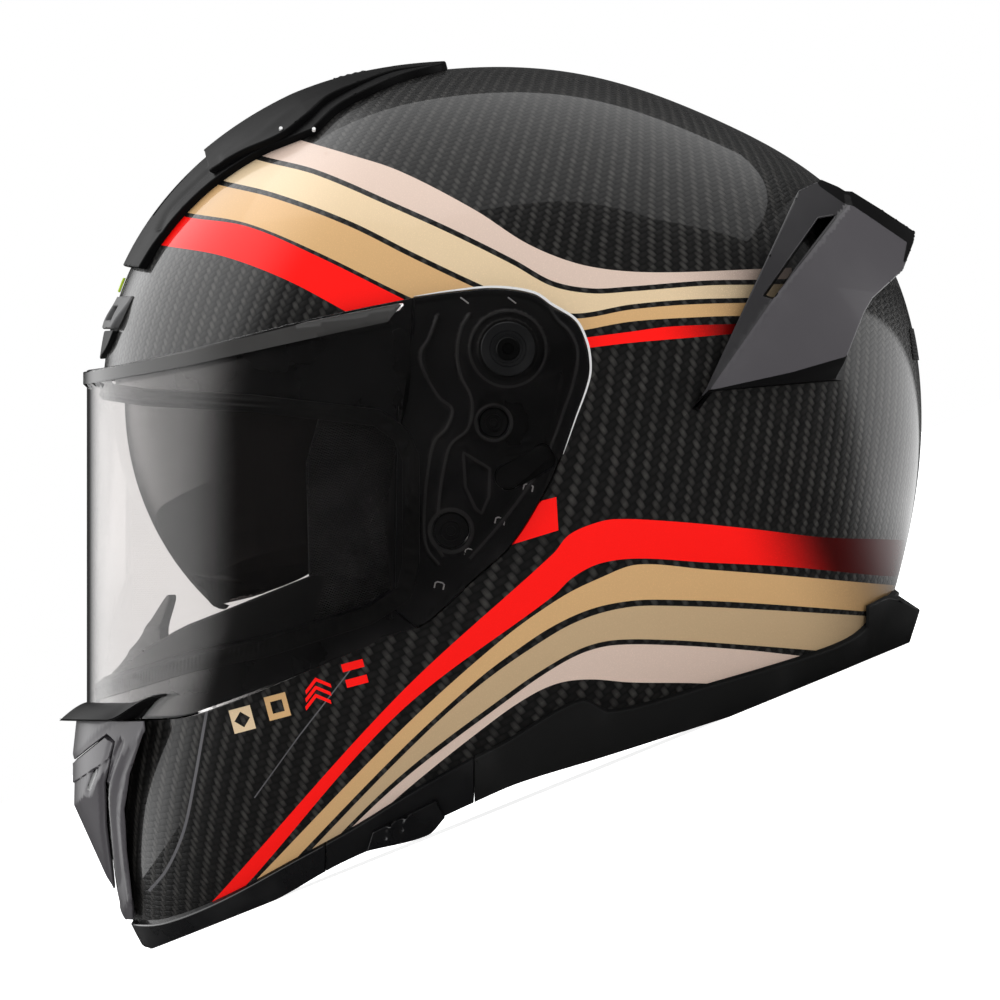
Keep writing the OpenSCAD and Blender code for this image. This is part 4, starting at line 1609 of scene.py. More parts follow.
    def creases(self) -> Regions:
        """Two fine pale lines on the chin: painted highlights where its folds catch the light.

        Returns:
            The outline and the finish of each line.
        """
        fold = curved(seen([(212, 690), (205, 730), (196, 780), (185, 830), (168, 868), (150, 890)]), closed=False)
        lower_highlight = np.array(seen([(352, 668), (300, 735), (256, 796)]))
        return [(ribbon(fold, self.crease_half), Coat.CREASE), (ribbon(lower_highlight, self.scratch_half), Coat.CREASE)]

    def recess_edge(self) -> None:
        """Builds a pale strip over the side plates' recess, a painted highlight where its edge catches the light,
        widest at its upper rear corner.
        """
        line = curved(ARM[:self.edge_end], closed=False)
        out = sideways(line)
        share = np.linspace(0, 1, len(line))[:, None]
        width = self.edge_least + self.edge_more * np.sin(math.pi * share ** 0.9) ** 0.8
        outline = np.concatenate([line + out * self.edge_gap, (line + out * (self.edge_gap + width))[::-1]])
        for side in SIDES:
            panel = Panel(SHELL, outline, -1.0, self.edge_gap, side, edge=0.12, grain=0.7)
            self.keep(panel.build(f"recess_edge_{side.word}", [self.palette.bevel]), "helmet", "carbon")

    def build(self) -> None:
        """Builds the shell."""
        coats = [getattr(self.palette, coat.name.lower()) for coat in Coat]
        outline = crowned([(y, z + self.trim_lift) for y, z in RIM])
        chin_hole = straight([(14, -152), (0.5, -152), (0.5, -172), (12, -172)])
        holes = [SHELL.chart(grown(EYEPORT, self.port_margin)), SHELL.chart(grown(PLATE, 0.3)),
                 front_chart(SHELL, chin_hole)]
        regions = [(SHELL.chart(line), coat) for line, coat in [*self.creases(), *self.paint(), *self.marks()]]
        panel = Panel(SHELL, SHELL.chart(outline), -self.wall, 0.0, holes=holes, edge=0.4, grain=2.2,
                      regions=regions, charted=True)
        self.recess_edge()
        self.keep(panel.build("shell_carbon", coats), "helmet", "carbon", "shell")


@dataclass
class PortGasket(Assembly):
    """The rubber gasket round the eyeport, with two ribs that the visor closes on.

    Each rib has its distance from the opening, its half width and its height.
    """

    lip: float = 6.0
    width: float = 4.0
    rise: float = 0.8
    ribs: tuple[tuple[float, float, float], ...] = ((1.6, 0.55, 0.7), (3.8, 0.45, 0.45))

    def build(self) -> None:
        """Builds the gasket."""
        ribs = together(*[ridge(grown(EYEPORT, at), width, high, True) for at, width, high in self.ribs])
        cloud = Panel(SHELL, grown(EYEPORT, self.lip), 0.05, self.rise, holes=[EYEPORT], edge=0.3, grain=1.1,
                      relief=ribs).add_to(Cloud())
        Panel(SHELL, grown(EYEPORT, self.width), -3.0, self.rise - 0.25, holes=[grown(EYEPORT, 0.05)], edge=0.2,
              grain=2.0).add_to(cloud)
        gasket = cloud.build("eyeport_gasket_rubber", [self.palette.rubber])
        self.keep(gasket, "helmet", "rubber", "eyeport_gasket")


@dataclass
class RimTrim(Assembly):
    """The trim along the lower edge: a chin strip, two side strips and the neck skirt behind."""

    rise: float = 2.0
    lift: float = 4.0
    wall: float = 3.0
    chin_end: float = -64.0
    side_end: float = -12.0
    gap: float = 0.3
    lip_high: float = 11.0
    lip_fall: float = 9.0
    lip_ends: Pair = (6.0, 34.0)

    def strip(self, cloud: Cloud, y0: float, y1: float, side: Side) -> Cloud:
        """Adds the strip between two places along the rim.

        Args:
            cloud: The mesh that is being made.
            y0: Its front end.
            y1: Its rear end.
            side: Where it lies.

        Returns:
            The same mesh.
        """
        top, low = self.between(TRIM_TOP, y0, y1), self.between(RIM, y0, y1)
        face = np.concatenate([curved(top, range(len(top)), False), curved(low, range(len(low)), False)[::-1]])
        foot = np.concatenate([low + [0, self.lift], low[::-1]])
        Panel(SHELL, face, 0.05, self.rise, side, edge=0.7, grain=2.4).add_to(cloud)
        Panel(SHELL, straight([tuple(p) for p in foot]), -self.wall - 1, self.rise - 0.15, side, edge=0.5,
              grain=2.4).add_to(cloud)
        return cloud

    def between(self, line: Line, y0: float, y1: float) -> Points:
        """The part of a line between two places along the rim.

        Args:
            line: The line.
            y0: Where the part starts.
            y1: Where it ends.

        Returns:
            The part's points.
        """
        fine = curved(line, closed=False, step=1.0)
        inner = fine[(fine[:, 0] > y0) & (fine[:, 0] < y1)]
        ends = [np.array([[y, np.interp(y, fine[:, 0], fine[:, 1])]]) for y in (y0, y1)]
        return np.concatenate([ends[0], inner[::3], ends[1]])

    def build(self) -> None:
        """Builds the four pieces."""
        coats = self.palette
        chin = self.strip(Cloud(), -LINE_END, self.chin_end, Side.BOTH)
        self.keep(chin.build("chin_trim_strip", [coats.gloss], True), "helmet", "gloss_black", "trim_chin")
        for side in SIDES:
            piece = self.strip(Cloud(), self.chin_end + self.gap, self.side_end, side)
            self.keep(piece.build(f"side_trim_{side.word}", [coats.satin], True), "helmet", "gloss_black",
                      f"trim_{side.word}")
        skirt = self.strip(Cloud(), self.side_end + self.gap, LINE_END, Side.BOTH)
        lip = curved([(126, -90), (136, -86), (141, -89), (144, -95), (144, -98), (139, -104), (126, -112)],
                     (0, 6), True)
        Panel(SHELL, lip, 1.0, self.lip_high, edge=0.8, grain=1.6,
              relief=lambda p: -self.lip_fall * eased(np.abs(p[:, 0]), *self.lip_ends)).add_to(skirt)
        self.keep(skirt.build("neck_skirt_rubber", [coats.matte], True), "helmet", "satin_black", "neck_skirt")


class PlateFace(IntEnum):
    """The side plates' faces, in the order of their materials."""

    FLOOR = 0
    # The ribs, painted lighter than the floor as a highlight.
    RIB = 1
    EAR = 2


@dataclass
class SidePlates(Assembly):
    """The moulded plates that the visor turns on, with their hubs, screws and release levers."""

    recess: float = 2.0
    rise: float = 0.2
    sunk: float = 1.0
    rib: float = 0.8
    rib_half: float = 0.55
    ear: float = 0.45
    pocket_deep: float = 0.9
    hub_at: Pair = (0.0, 0.0)
    upper_at: Pair = (-5.0, -26.0)
    lower_at: Pair = (-20.0, -64.0)
    lever_at: Pair = (0.0, -45.0)
    lever_reach: Pair = (12.2, 8.4)
    lever_hub: float = 4.4
    lever_end: float = 2.8
    lever_turn: float = math.radians(12)
    lever_gap: float = 0.45
    lever_low: float = -1.7
    lever_high: float = -0.5
    hub_radius: float = 8.0
    hub_root: float = 125.0
    upper_radius: float = 5.0
    lower_radius: float = 6.0
    cap_x: float = 130.35
    clip_lift: float = -0.35
    clip_turn: float = math.radians(-12)
    clip_wire: float = 0.55

    def curves(self) -> list[Points]:
        """The nested ribs between the eyeport and the hub.

        Returns:
            The middle line of each rib.
        """
        lines = ([(470, 316), (462, 330), (458, 355), (462, 378), (471, 396), (473, 410), (468, 430), (452, 444),
                  (446, 462), (440, 500), (438, 545), (444, 556)],
                 [(438, 318), (430, 340), (422, 354), (425, 372), (440, 398), (453, 410), (448, 428), (436, 441),
                  (429, 470), (425, 520), (428, 548), (440, 564)],
                 [(548, 305), (556, 320), (570, 334), (577, 352), (574, 378), (562, 415), (549, 450), (530, 484),
                  (500, 524), (470, 558)])
        return [curved(seen(line), closed=False) for line in lines]

    def pocket(self) -> Points:
        """The four sided pocket behind the lower ribs."""
        return straight(seen([(464, 453), (490, 469), (489, 497), (482, 513), (476, 508), (466, 487)]))

    def ears(self) -> list[Points]:
        """The two flat faces that stand over the plate's floor.

        Returns:
            The outline of each face.
        """
        return [straight(seen([(505, 392), (540, 380), (562, 372), (556, 410), (544, 442), (512, 446), (500, 452),
                               (504, 416)])),
                straight(seen([(506, 456), (542, 452), (530, 478), (500, 514), (503, 480)]))]

    def rings(self) -> list[tuple[Pair, float, float]]:
        """Middle, radius and half width of each ring."""
        return [(self.hub_at, 10.0, 0.7), (self.hub_at, 13.4, 0.5), (self.upper_at, 6.3, 0.6),
                (self.lower_at, 7.5, 0.7)]

    def height(self, p: Points) -> Points:
        """Height of the relief over the plate's face.

        Args:
            p: The worn places.

        Returns:
            One height for each place.
        """
        q = p[:, 1:]
        edge = curved(ARM, closed=False)
        h = 0.9 * eased(distance_to(q, edge), 2.4, 0.8)
        for line in self.curves():
            h = np.maximum(h, self.rib * eased(distance_to(q, line), 1.0, 0.5))
        for centre, radius, half in self.rings():
            away = np.abs(np.linalg.norm(q - np.array(centre), axis=1) - radius)
            h = np.maximum(h, self.rib * eased(away, half + 0.4, half))
        for ear in self.ears():
            h = np.maximum(h, self.ear * inside(q, grown(ear, 0.25)))
        h = np.where(inside(q, self.pocket()), -self.pocket_deep, h)
        return np.maximum(h, self.rib * eased(distance_to(q, self.pocket(), True), 1.0, 0.5)) - self.sunk

    def regions(self) -> Regions:
        """Outlines that the relief's edges follow, with the ribs in a lighter finish of their own, a painted
        highlight along them.

        Returns:
            The outline and the finish of each region.
        """
        rib, floor = PlateFace.RIB, PlateFace.FLOOR
        found = [(ear, PlateFace.EAR) for ear in self.ears()]
        found += [(ribbon(line, self.rib_half), rib) for line in self.curves()]
        found += [(grown(self.pocket(), 0.6), rib), (grown(self.pocket(), -0.5), floor)]
        for centre, radius, half in self.rings():
            found += [(circle(centre, radius + half), rib), (circle(centre, radius - half), floor)]
        return found

    def plate(self, side: Side) -> None:
        """Builds one plate.

        Args:
            side: The left or the right.
        """
        coats = self.palette
        turns = (0.0, self.lever_turn / 2, self.lever_turn)
        holes = [circle(self.hub_at, self.hub_radius + 0.3), circle(self.upper_at, self.upper_radius + 0.3),
                 circle(self.lower_at, self.lower_radius + 0.3), self.lever_outline(self.lever_gap, turns)]
        panel = Panel(SHELL, grown(PLATE, -0.1), -self.recess, self.rise, side, holes=holes, relief=self.height,
                      edge=0.35, grain=0.95, regions=self.regions())
        self.keep(panel.build(f"side_plate_{side.word}_moulding", [coats.satin, coats.ribs, coats.gloss]),
                  "helmet", "satin_black", f"side_plate_{side.word}")

    def hub(self, side: Side) -> None:
        """Builds one hub and its cap, which holds the visor's arm.

        Args:
            side: The left or the right.
        """
        cloud = Cloud()
        x = self.cap_x
        lathe(cloud, [(self.hub_root, 0), (self.hub_root, self.hub_radius), (x, self.hub_radius), (x, 9.3),
                      (x + 0.25, 9.6), (x + 0.7, 9.6), (x + 1.0, 9.2), (x + 1.0, 6.6), (x + 0.6, 6.2),
                      (x + 0.6, 5.2), (x + 1.0, 4.9), (x + 1.0, 0)], self.hub_at, side.value)
        self.keep(cloud.build(f"visor_hub_{side.word}_cap", [self.palette.satin]), "helmet", "satin_black",
                  f"visor_hub_{side.word}")

    def screws(self) -> None:
        """Builds the hub screws, and the flat screws of both plates."""
        hub, plate = Cloud(), Cloud()
        for sign in (side.value for side in SIDES):
            x = self.cap_x + 1.0
            lathe(hub, [(x, 4.2), (x + 0.8, 4.2), (x + 1.2, 3.8), (x + 1.2, 2.1), (x + 0.5, 1.9), (x + 0.5, 0)],
                  self.hub_at, sign)
            for at, radius in ((self.upper_at, self.upper_radius), (self.lower_at, self.lower_radius)):
                top = float(half_width_at(SHELL, np.array([at[0]]), np.array([at[1]]), -0.4)[0])
                lathe(plate, [(top - 1.4, radius), (top - 0.3, radius), (top, radius - 0.4), (top, radius * 0.62),
                              (top - 0.6, radius * 0.56), (top - 0.6, radius * 0.3), (top - 0.2, radius * 0.26),
                              (top - 0.2, 0)], at, sign)
        self.keep(hub.build("hub_screw_heads", [self.palette.dark_steel]), "helmet", "steel", "hub_screws")
        self.keep(plate.build("plate_screw_heads", [self.palette.satin]), "helmet", "steel", "plate_screws")

    def lever_outline(self, margin: float = 0.0, turns: Sequence[float] = (0.0,)) -> Points:
        """Outline of the release lever over some of its turns, grown by a margin.

        Args:
            margin: The margin, in millimetres.
            turns: The lever's turns, in radians.

        Returns:
            The outline.
        """
        found = [circle(self.lever_at, self.lever_hub + margin, 40)]
        for turn in turns:
            cos, sin = math.cos(turn), math.sin(turn)
            tip = (self.lever_at[0] + self.lever_reach[0] * cos + self.lever_reach[1] * sin,
                   self.lever_at[1] + self.lever_reach[1] * cos - self.lever_reach[0] * sin)
            found.append(circle(tip, self.lever_end + margin, 40))
        return hull(np.concatenate(found))

    def lever(self, side: Side) -> None:
        """Builds one release lever.

        Args:
            side: The left or the right.
        """
        name = f"release_lever_{side.word}"
        panel = Panel(SHELL, self.lever_outline(), self.lever_low, self.lever_high, side, edge=0.3, grain=0.9)
        self.keep(panel.build(f"{name}_arm", [self.palette.satin]), name, "satin_black", name)

    def clips(self, side: Side) -> None:
        """Builds the small bright clips along the recess's edge, each a bent wire, and two short bright strokes at
        its top that are painted highlights.

        Args:
            side: The left or the right.
        """
        bent = np.array([(-1.6, -1.0), (-1.6, 0.8), (-0.9, 1.3), (0.9, 1.3), (1.6, 0.8), (1.6, -1.0)])
        cos, sin = math.cos(self.clip_turn), math.sin(self.clip_turn)
        lines = [np.array(at) + bent @ np.array([[cos, sin], [-sin, cos]])
                 for at in seen([(528, 488), (500, 521), (470, 552), (440, 585)])]
        # Two short straight strokes: painted highlights, not clips.
        lines += [np.array(seen(ends)) for ends in ([(461, 299), (469, 305)], [(508, 299), (516, 305)])]
        clips = wire_tree(f"clips_{side.word}", self.palette.clip, self.clip_wire).run(
            [on_side(SHELL, line, self.clip_lift, side) for line in lines], f"recess_clips_{side.word}")
        self.keep(clips, "helmet", "steel")

    def build(self) -> None:
        """Builds both sides."""
        for side in SIDES:
            self.plate(side)
            self.hub(side)
            self.lever(side)
            self.clips(side)
        self.screws()


VISOR_LINE: Line = [(-175, -6), (-149, -7), (-113, 0), (-72, 10)]
VISOR_FOOT: Line = [(-45, -102), (-50, -105), (-110, -129), (-127, -131), (-175, -131)]


def visor_outline() -> Points:
    """The visor's outline in the side view, closed in front of the helmet in short steps."""
    front = curved([VISOR_FOOT[-1], VISOR_LINE[0]], (0, 1), False)[1:-1]
    return np.concatenate([curved(VISOR_LINE + ARM, (), False), curved(VISOR_FOOT, closed=False), front])


@dataclass
class VisorWork(Assembly):
    """The clear visor with its raised upper rib, and the pointed tab along its lower edge."""

    rib_height: float = 1.3
    hub_hole: float = 8.05
    tab_reach: float = 12.6
    tab_half: float = 82.0
    tab_bend: float = 62.0
    tab_sweep: float = 9.0
    tab_low: float = -131.5
    tab_top: float = -125.0

    def visor(self) -> None:
        """Builds the visor."""
        rib = straight([(-175, -8), (-148, -8), (-113, -1.2), (-72, 8.8), (-37, 15.6), (-42, 9.4), (-67, 4),
                        (-113, -6), (-148, -12), (-175, -13)])
        hub = circle((0, 0), self.hub_hole)
        panel = Panel(VISOR, visor_outline(), -VISOR_WALL, 0.0, holes=[hub], regions=[(rib, 1)], edge=0.6,
                      grain=2.2, relief=lambda p: self.rib_height * inside(p[:, 1:], grown(rib, 0.3)))
        self.keep(panel.build("visor_clear", [self.palette.clear, self.palette.rib]), "visor", "clear", "visor")

    def tab(self) -> None:
        """Builds the tab as a blade that is sharp along its front edge."""
        x = np.linspace(-self.tab_half, self.tab_half, 97)
        share = np.concatenate([np.linspace(0, 0.86, 12), [0.93, 0.97, 1.0]])
        swept = eased(np.abs(x), self.tab_bend, self.tab_half)
        low_z = self.tab_low + self.tab_sweep * swept
        thick = (self.tab_top - self.tab_low) * (1 - 0.85 * swept)
        ease = 1 - (np.abs(x) / self.tab_half) ** 4
        back = front_at(VISOR, x, low_z, 0.1)
        reach = front_at(VISOR, x, low_z, self.tab_reach)
        tip = back + (reach - back) * ease
        cloud = Cloud()
        grids = []
        for upper in (True, False):
            y = back[:, None] + (tip - back)[:, None] * share[None, :]
            rise = thick[:, None] * (1 - share**1.4)[None, :]
            z = low_z[:, None] + (rise if upper else 0.6 * share[None, :] ** 2)
            grids.append(np.stack([np.broadcast_to(x[:, None], y.shape), y, z], 2))
        for grid, flip in ((grids[0], False), (grids[1], True)):
            add_grid(cloud, grid, flip)
        add_grid(cloud, np.stack([grids[0][:, 0], grids[1][:, 0]], 1), True)
        for end, flip in ((0, True), (-1, False)):
            add_grid(cloud, np.stack([grids[0][end], grids[1][end]], 0), flip)
        self.keep(cloud.build("visor_tab_blade", [self.palette.deep]), "visor", "gloss_black", "visor_tab")

    def build(self) -> None:
        """Builds the visor and its tab."""
        self.visor()
        self.tab()


def add_grid(cloud: Cloud, grid: Points, flip: bool = False, finish: int = 0) -> None:
    """Adds a sheet of quads with smooth normals.

    Args:
        cloud: The mesh that is being made.
        grid: Points in rows and columns; the normal is row direction times column direction.
        flip: Whether the sheet faces the other way.
        finish: The material's index.
    """
    rows, columns = grid.shape[:2]
    normal = unit(np.cross(np.gradient(grid, axis=0), np.gradient(grid, axis=1)).reshape(-1, 3))
    base = cloud.corners(grid.reshape(-1, 3))
    i, j = np.meshgrid(np.arange(rows - 1), np.arange(columns - 1), indexing="ij")
    a = (i * columns + j).ravel()
    faces = np.stack([a, a + columns, a + columns + 1, a + 1], 1)
    if flip:
        faces, normal = faces[:, ::-1], -normal
    weave = np.stack([grid[..., 0], grid[..., 2]], 2).reshape(-1, 2)
    cloud.add(faces + base, normal[faces], weave[faces], finish)


@dataclass
class SunVisorWork(Assembly):
    """The smoked inner visor, and the thumb lever on the left that lowers it."""

    wall: float = 1.8
    pivot: Pair = (-36.0, -18.0)
    pin: float = 3.05
    lever_low: float = 2.8
    lever_high: float = 4.2

    def nose(self, x: float, z: float) -> Pair:
        """Side view place of a point of the sun visor's front, from its width and height.

        Args:
            x: Its distance from the middle plane.
            z: Its height.

        Returns:
            The place, back and up.
        """
        share = (1 - (x / SUN_FORM.half_width) ** SUN_FORM.round_x) ** (1 / SUN_FORM.round_y)
        reach = share * SUN_REACH
        return self.pivot[0] - math.sqrt(reach**2 - (z - self.pivot[1]) ** 2), z

    def visor(self) -> None:
        """Builds the smoked visor."""
        arm = curved([(-60, 4), (-34, -8), (-27, -14), (-27, -24), (-36, -28), (-62, -30), (-70, -38), (-69, -60),
                      (-67, -76), (-85, -86), (-109, -92)], (0, 10), False)
        notch = [self.nose(x, z) for x, z in ((30, -92), (20, -92), (14, -91.2), (12, -88), (10.4, -82), (9, -77),
                                              (6, -74.6), (2, -74), (0, -74))]
        outline = np.concatenate([[(-175, 4)], arm, notch, [(-175, -74)]])
        panel = Panel(SUN_FORM, outline, -self.wall, 0.0, holes=[circle(self.pivot, self.pin)], edge=0.5,
                      grain=3.0)
        self.keep(panel.build("sun_visor_smoke", [self.palette.smoke]), "sun_visor", "smoke", "sun_visor")

    def lever(self) -> None:
        """Builds the thumb lever with its two ridges."""
        outline = curved([(-49, -174.5), (-47, -168), (-25, -157), (-22, -163), (-28, -169)], (0, 1, 2, 3),
                         True, 0.8)
        ridges = together(*[ridge(line, 1.0, 1.6) for line in ([(-42, -173), (-40, -162)],
                                                               [(-36.5, -171), (-34.5, -159)])])
        panel = Panel(SHELL, outline, self.lever_low, self.lever_high, Side.LEFT, relief=ridges, edge=0.5,
                      grain=0.9)
        self.keep(panel.build("sun_visor_lever_thumb", [self.palette.gloss]), "sun_visor_lever", "gloss_black",
                  "sun_visor_lever")

    def build(self) -> None:
        """Builds the visor and its lever, and gives its pins a steel finish."""
        self.visor()
        self.lever()
        repaint("sun_visor_pins", self.palette.steel)


def repaint(node: str, material: bpy.types.Material) -> None:
    """Gives a CAD node that stays in view a better material.

    Args:
        node: The node's name.
        material: The material.
    """
    mesh = bpy.data.objects[node].data
    mesh.materials.clear()
    mesh.materials.append(material)


JAW: Line = [(-130, -107), (-117, -99.5), (-112, -97), (-99.4, -92), (-73.8, -81.6), (-60, -76), (-58, -97),
             (-85, -107), (-113, -113), (-140, -122), (-142, -118)]
TEMPLE: Line = [(-70, -80), (-71, -40), (-66, -22), (-44, -22.5), (-33, -36), (-33, -80)]


@dataclass
class Lining(Assembly):
    """Foam, crown pad, cheek pads, neck roll, breath guard and chin curtain.

    The crown pad's seams have one depth along the helmet's middle and one down its sides.
    """

    foam: float = 37.9
    crown_wall: float = 8.0
    seam_deep: Pair = (1.6, 1.8)
    seam_half: float = 2.2
    middle_half: float = 22.0
    pad_gap: float = 3.9
    cheek_wall: float = 44.0
    cheek_fall: float = 9.0
    cheek_soft: float = 17.0
    cheek_seam: Pair = (1.5, 1.6)
    seam_in: float = 13.0
    seam_lift: float = 10.05
    wing_wall: float = 5.0
    roll_wall: float = 24.0
    roll_round: float = 5.0

    def crown(self) -> None:
        """Builds the crown pad, quilted in long panels."""
        form = SHELL.layer(-self.foam)
        outline = crowned([(-175, 8), (-100, 8), (-60, 0), (-26, -6), (-20, -40), (40, -60), (60, -76),
                           (175, -76)])
        seams = [curved(line, closed=False) for line in (
            [(-100, 20), (-60, 46), (-10, 56), (40, 48), (80, 20), (100, -20)],
            [(-88, 6), (-40, 24), (0, 28), (40, 18), (70, -20), (84, -60)])]

        def quilt(p: Points) -> Points:
            """Seams between the panels, and the rounded edge.

            Args:
                p: The worn places.

            Returns:
                One height for each place.
            """
            q = p[:, 1:]
            h = -self.seam_deep[0] * np.exp(-((np.abs(p[:, 0]) - self.middle_half) / self.seam_half) ** 2)
            for seam in seams:
                h = np.minimum(h, -self.seam_deep[1] * np.exp(-((distance_to(q, seam) / self.seam_half) ** 2)))
            return h

        panel = Panel(form, outline, -self.crown_wall, 0.0, inward=True, relief=quilt, edge=2.5, grain=5.0)
        piece = panel.build("crown_pad_quilted", [self.palette.lining])
        self.keep(piece, "helmet", "lining", "crown_pad")

    def cheeks(self) -> None:
        """Builds the two cheek pads."""
        outline = curved([(-64, -78), (-65, -46), (-58, -39), (-38, -39), (-34, -44), (-34, -70), (46, -70),
                          (57, -88), (57, -118), (33, -131), (4, -138), (-38, -156), (-66, -170), (-72, -112)],
                         (5,), True, 2.5)
        seam = grown(outline, -self.seam_in)[::2]

        def pillow(p: Points) -> Points:
            """A soft edge, and a sewn seam round the middle.

            Args:
                p: The worn places.

            Returns:
                One height for each place.
            """
            q = p[:, 1:]
            fall = self.cheek_fall * (1 - eased(distance_to(q, outline, True), 0, self.cheek_soft))
            deep, half = self.cheek_seam
            return -fall - deep * np.exp(-((distance_to(q, seam, True) / half) ** 2))

        for side in SIDES:
            name, face = f"cheek_pad_{side.word}", SideFace(SHELL)
            cloud = Panel(face, outline, -self.pad_gap - self.cheek_wall, -self.pad_gap, side, inward=True,
                          relief=pillow, edge=2.2, grain=4.4).add_to(Cloud())
            Panel(face, straight(TEMPLE), -self.pad_gap - self.wing_wall, -self.pad_gap, side, edge=1.0,
                  grain=2.6).add_to(cloud)
            piece = cloud.build(f"{name}_sewn", [self.palette.lining])
            self.keep(piece, "helmet", "lining", name)
            depth = self.seam_lift - self.pad_gap - self.cheek_wall
            ring = on_side(SHELL, np.concatenate([seam, seam[:1]]), depth, side)
            stitches = rod_tree(f"cheek_stitches_{side.word}", self.palette.thread, 4.0, 2.6, 0.8)
            self.keep(stitches.run([ring], f"{name}_stitches"), "helmet", "lining")

    def roll(self) -> None:
        """Builds the neck roll round the back."""
        form = SHELL.layer(-self.pad_gap - self.roll_wall)
        outline = straight([(63, -88), (175, -88), (175, -97), (118, -105), (89, -112), (63, -117)])
        centre = curved([(63, -102), (89, -100), (118, -97), (175, -92)], closed=False)
        panel = Panel(form, outline, 0.0, 1.0, inward=True, edge=1.8, grain=3.6,
                      relief=lambda p: -self.roll_round * eased(distance_to(p[:, 1:], centre), 4.0, 13.0),
                      foot=lambda c: spread(form.place(c), SHELL, -self.pad_gap))
        piece = panel.build("neck_roll_padded", [self.palette.lining])
        self.keep(piece, "helmet", "lining", "neck_roll")

    def guard(self) -> None:
        """Builds the rubber breath guard over the nose."""
        face = FrontFace(lambda x, z: np.interp(-z, (87, 103, 119), (-121, -131, -143)) + 0.012 * x**2)
        ribs = together(*[lambda p, at=at: 0.8 * np.exp(-(((p[:, 2] - at) / 0.9) ** 2))
                          for at in (-98, -106, -114)])
        outline = curved([(-40, -119), (-31, -107), (-22, -99), (-12, -88), (0, -87), (12, -88), (22, -99),
                          (31, -107), (40, -119)], (0, 8), True, 1.2)
        cloud = Panel(face, outline, -2.0, 0.2, Side.LEFT, relief=ribs, edge=0.6, grain=1.8).add_to(Cloud())
        for side in SIDES:
            Panel(SideFace(SHELL), straight(JAW), -self.pad_gap - self.wing_wall, -self.pad_gap - 0.4, side,
                  edge=1.0, grain=2.2).add_to(cloud)
        self.keep(cloud.build("breath_guard_rubber", [self.palette.rubber]), "helmet", "rubber", "breath_guard")

    def curtain(self) -> None:
        """Builds the chin curtain, one thin cloth across the chin bar."""
        y = np.linspace(-115.5, -80.5, 15)
        z = np.interp(y, [-116, -80], [-197.2, -184.7])
        reach = half_width_at(SHELL, y, z, -4.8)
        share = np.linspace(-1, 1, 61)
        grid = np.stack([reach[:, None] * share, np.broadcast_to(y[:, None], (15, 61)),
                         z[:, None] + 0.25 * np.cos(share * 40)], 2)
        cloud = Cloud()
        add_grid(cloud, grid)
        piece = cloud.build("chin_curtain_cloth", [self.palette.lining])
        solid = piece.modifiers.new("Thickness", "SOLIDIFY")
        solid.thickness, solid.offset = 0.8 * MM, 0.0
        self.keep(piece, "helmet", "lining", "chin_curtain")

    def build(self) -> None:
        """Builds the lining."""
        self.crown()
        self.cheeks()
        self.roll()
        self.guard()
        self.curtain()
        for node in ("foam_liner", "chin_foam"):
            repaint(node, self.palette.foam)


CHIN_PROFILE: Line = [(-153.2, -125), (-155.2, -144), (-154.4, -147), (-154.6, -162), (-140.5, -193),
                      (-137.6, -201), (-134, -207), (-134, -215)]


def chin_radius(angle: Points) -> Points:
    """Radius of the chin vent's centre line.

    Args:
        angle: The angles, in radians.

    Returns:
        The radii, in millimetres.
    """
    line = curved(CHIN_PROFILE, range(len(CHIN_PROFILE)), False, 1.0)
    below = np.degrees(np.arctan2(-line[:, 1], -line[:, 0]))
    turn = -((np.degrees(angle) + 180) % 360 - 180)
    return np.interp(turn, below, np.linalg.norm(line, axis=1))


CHIN = Form(chin_radius, SHELL_HALF + 2.0)


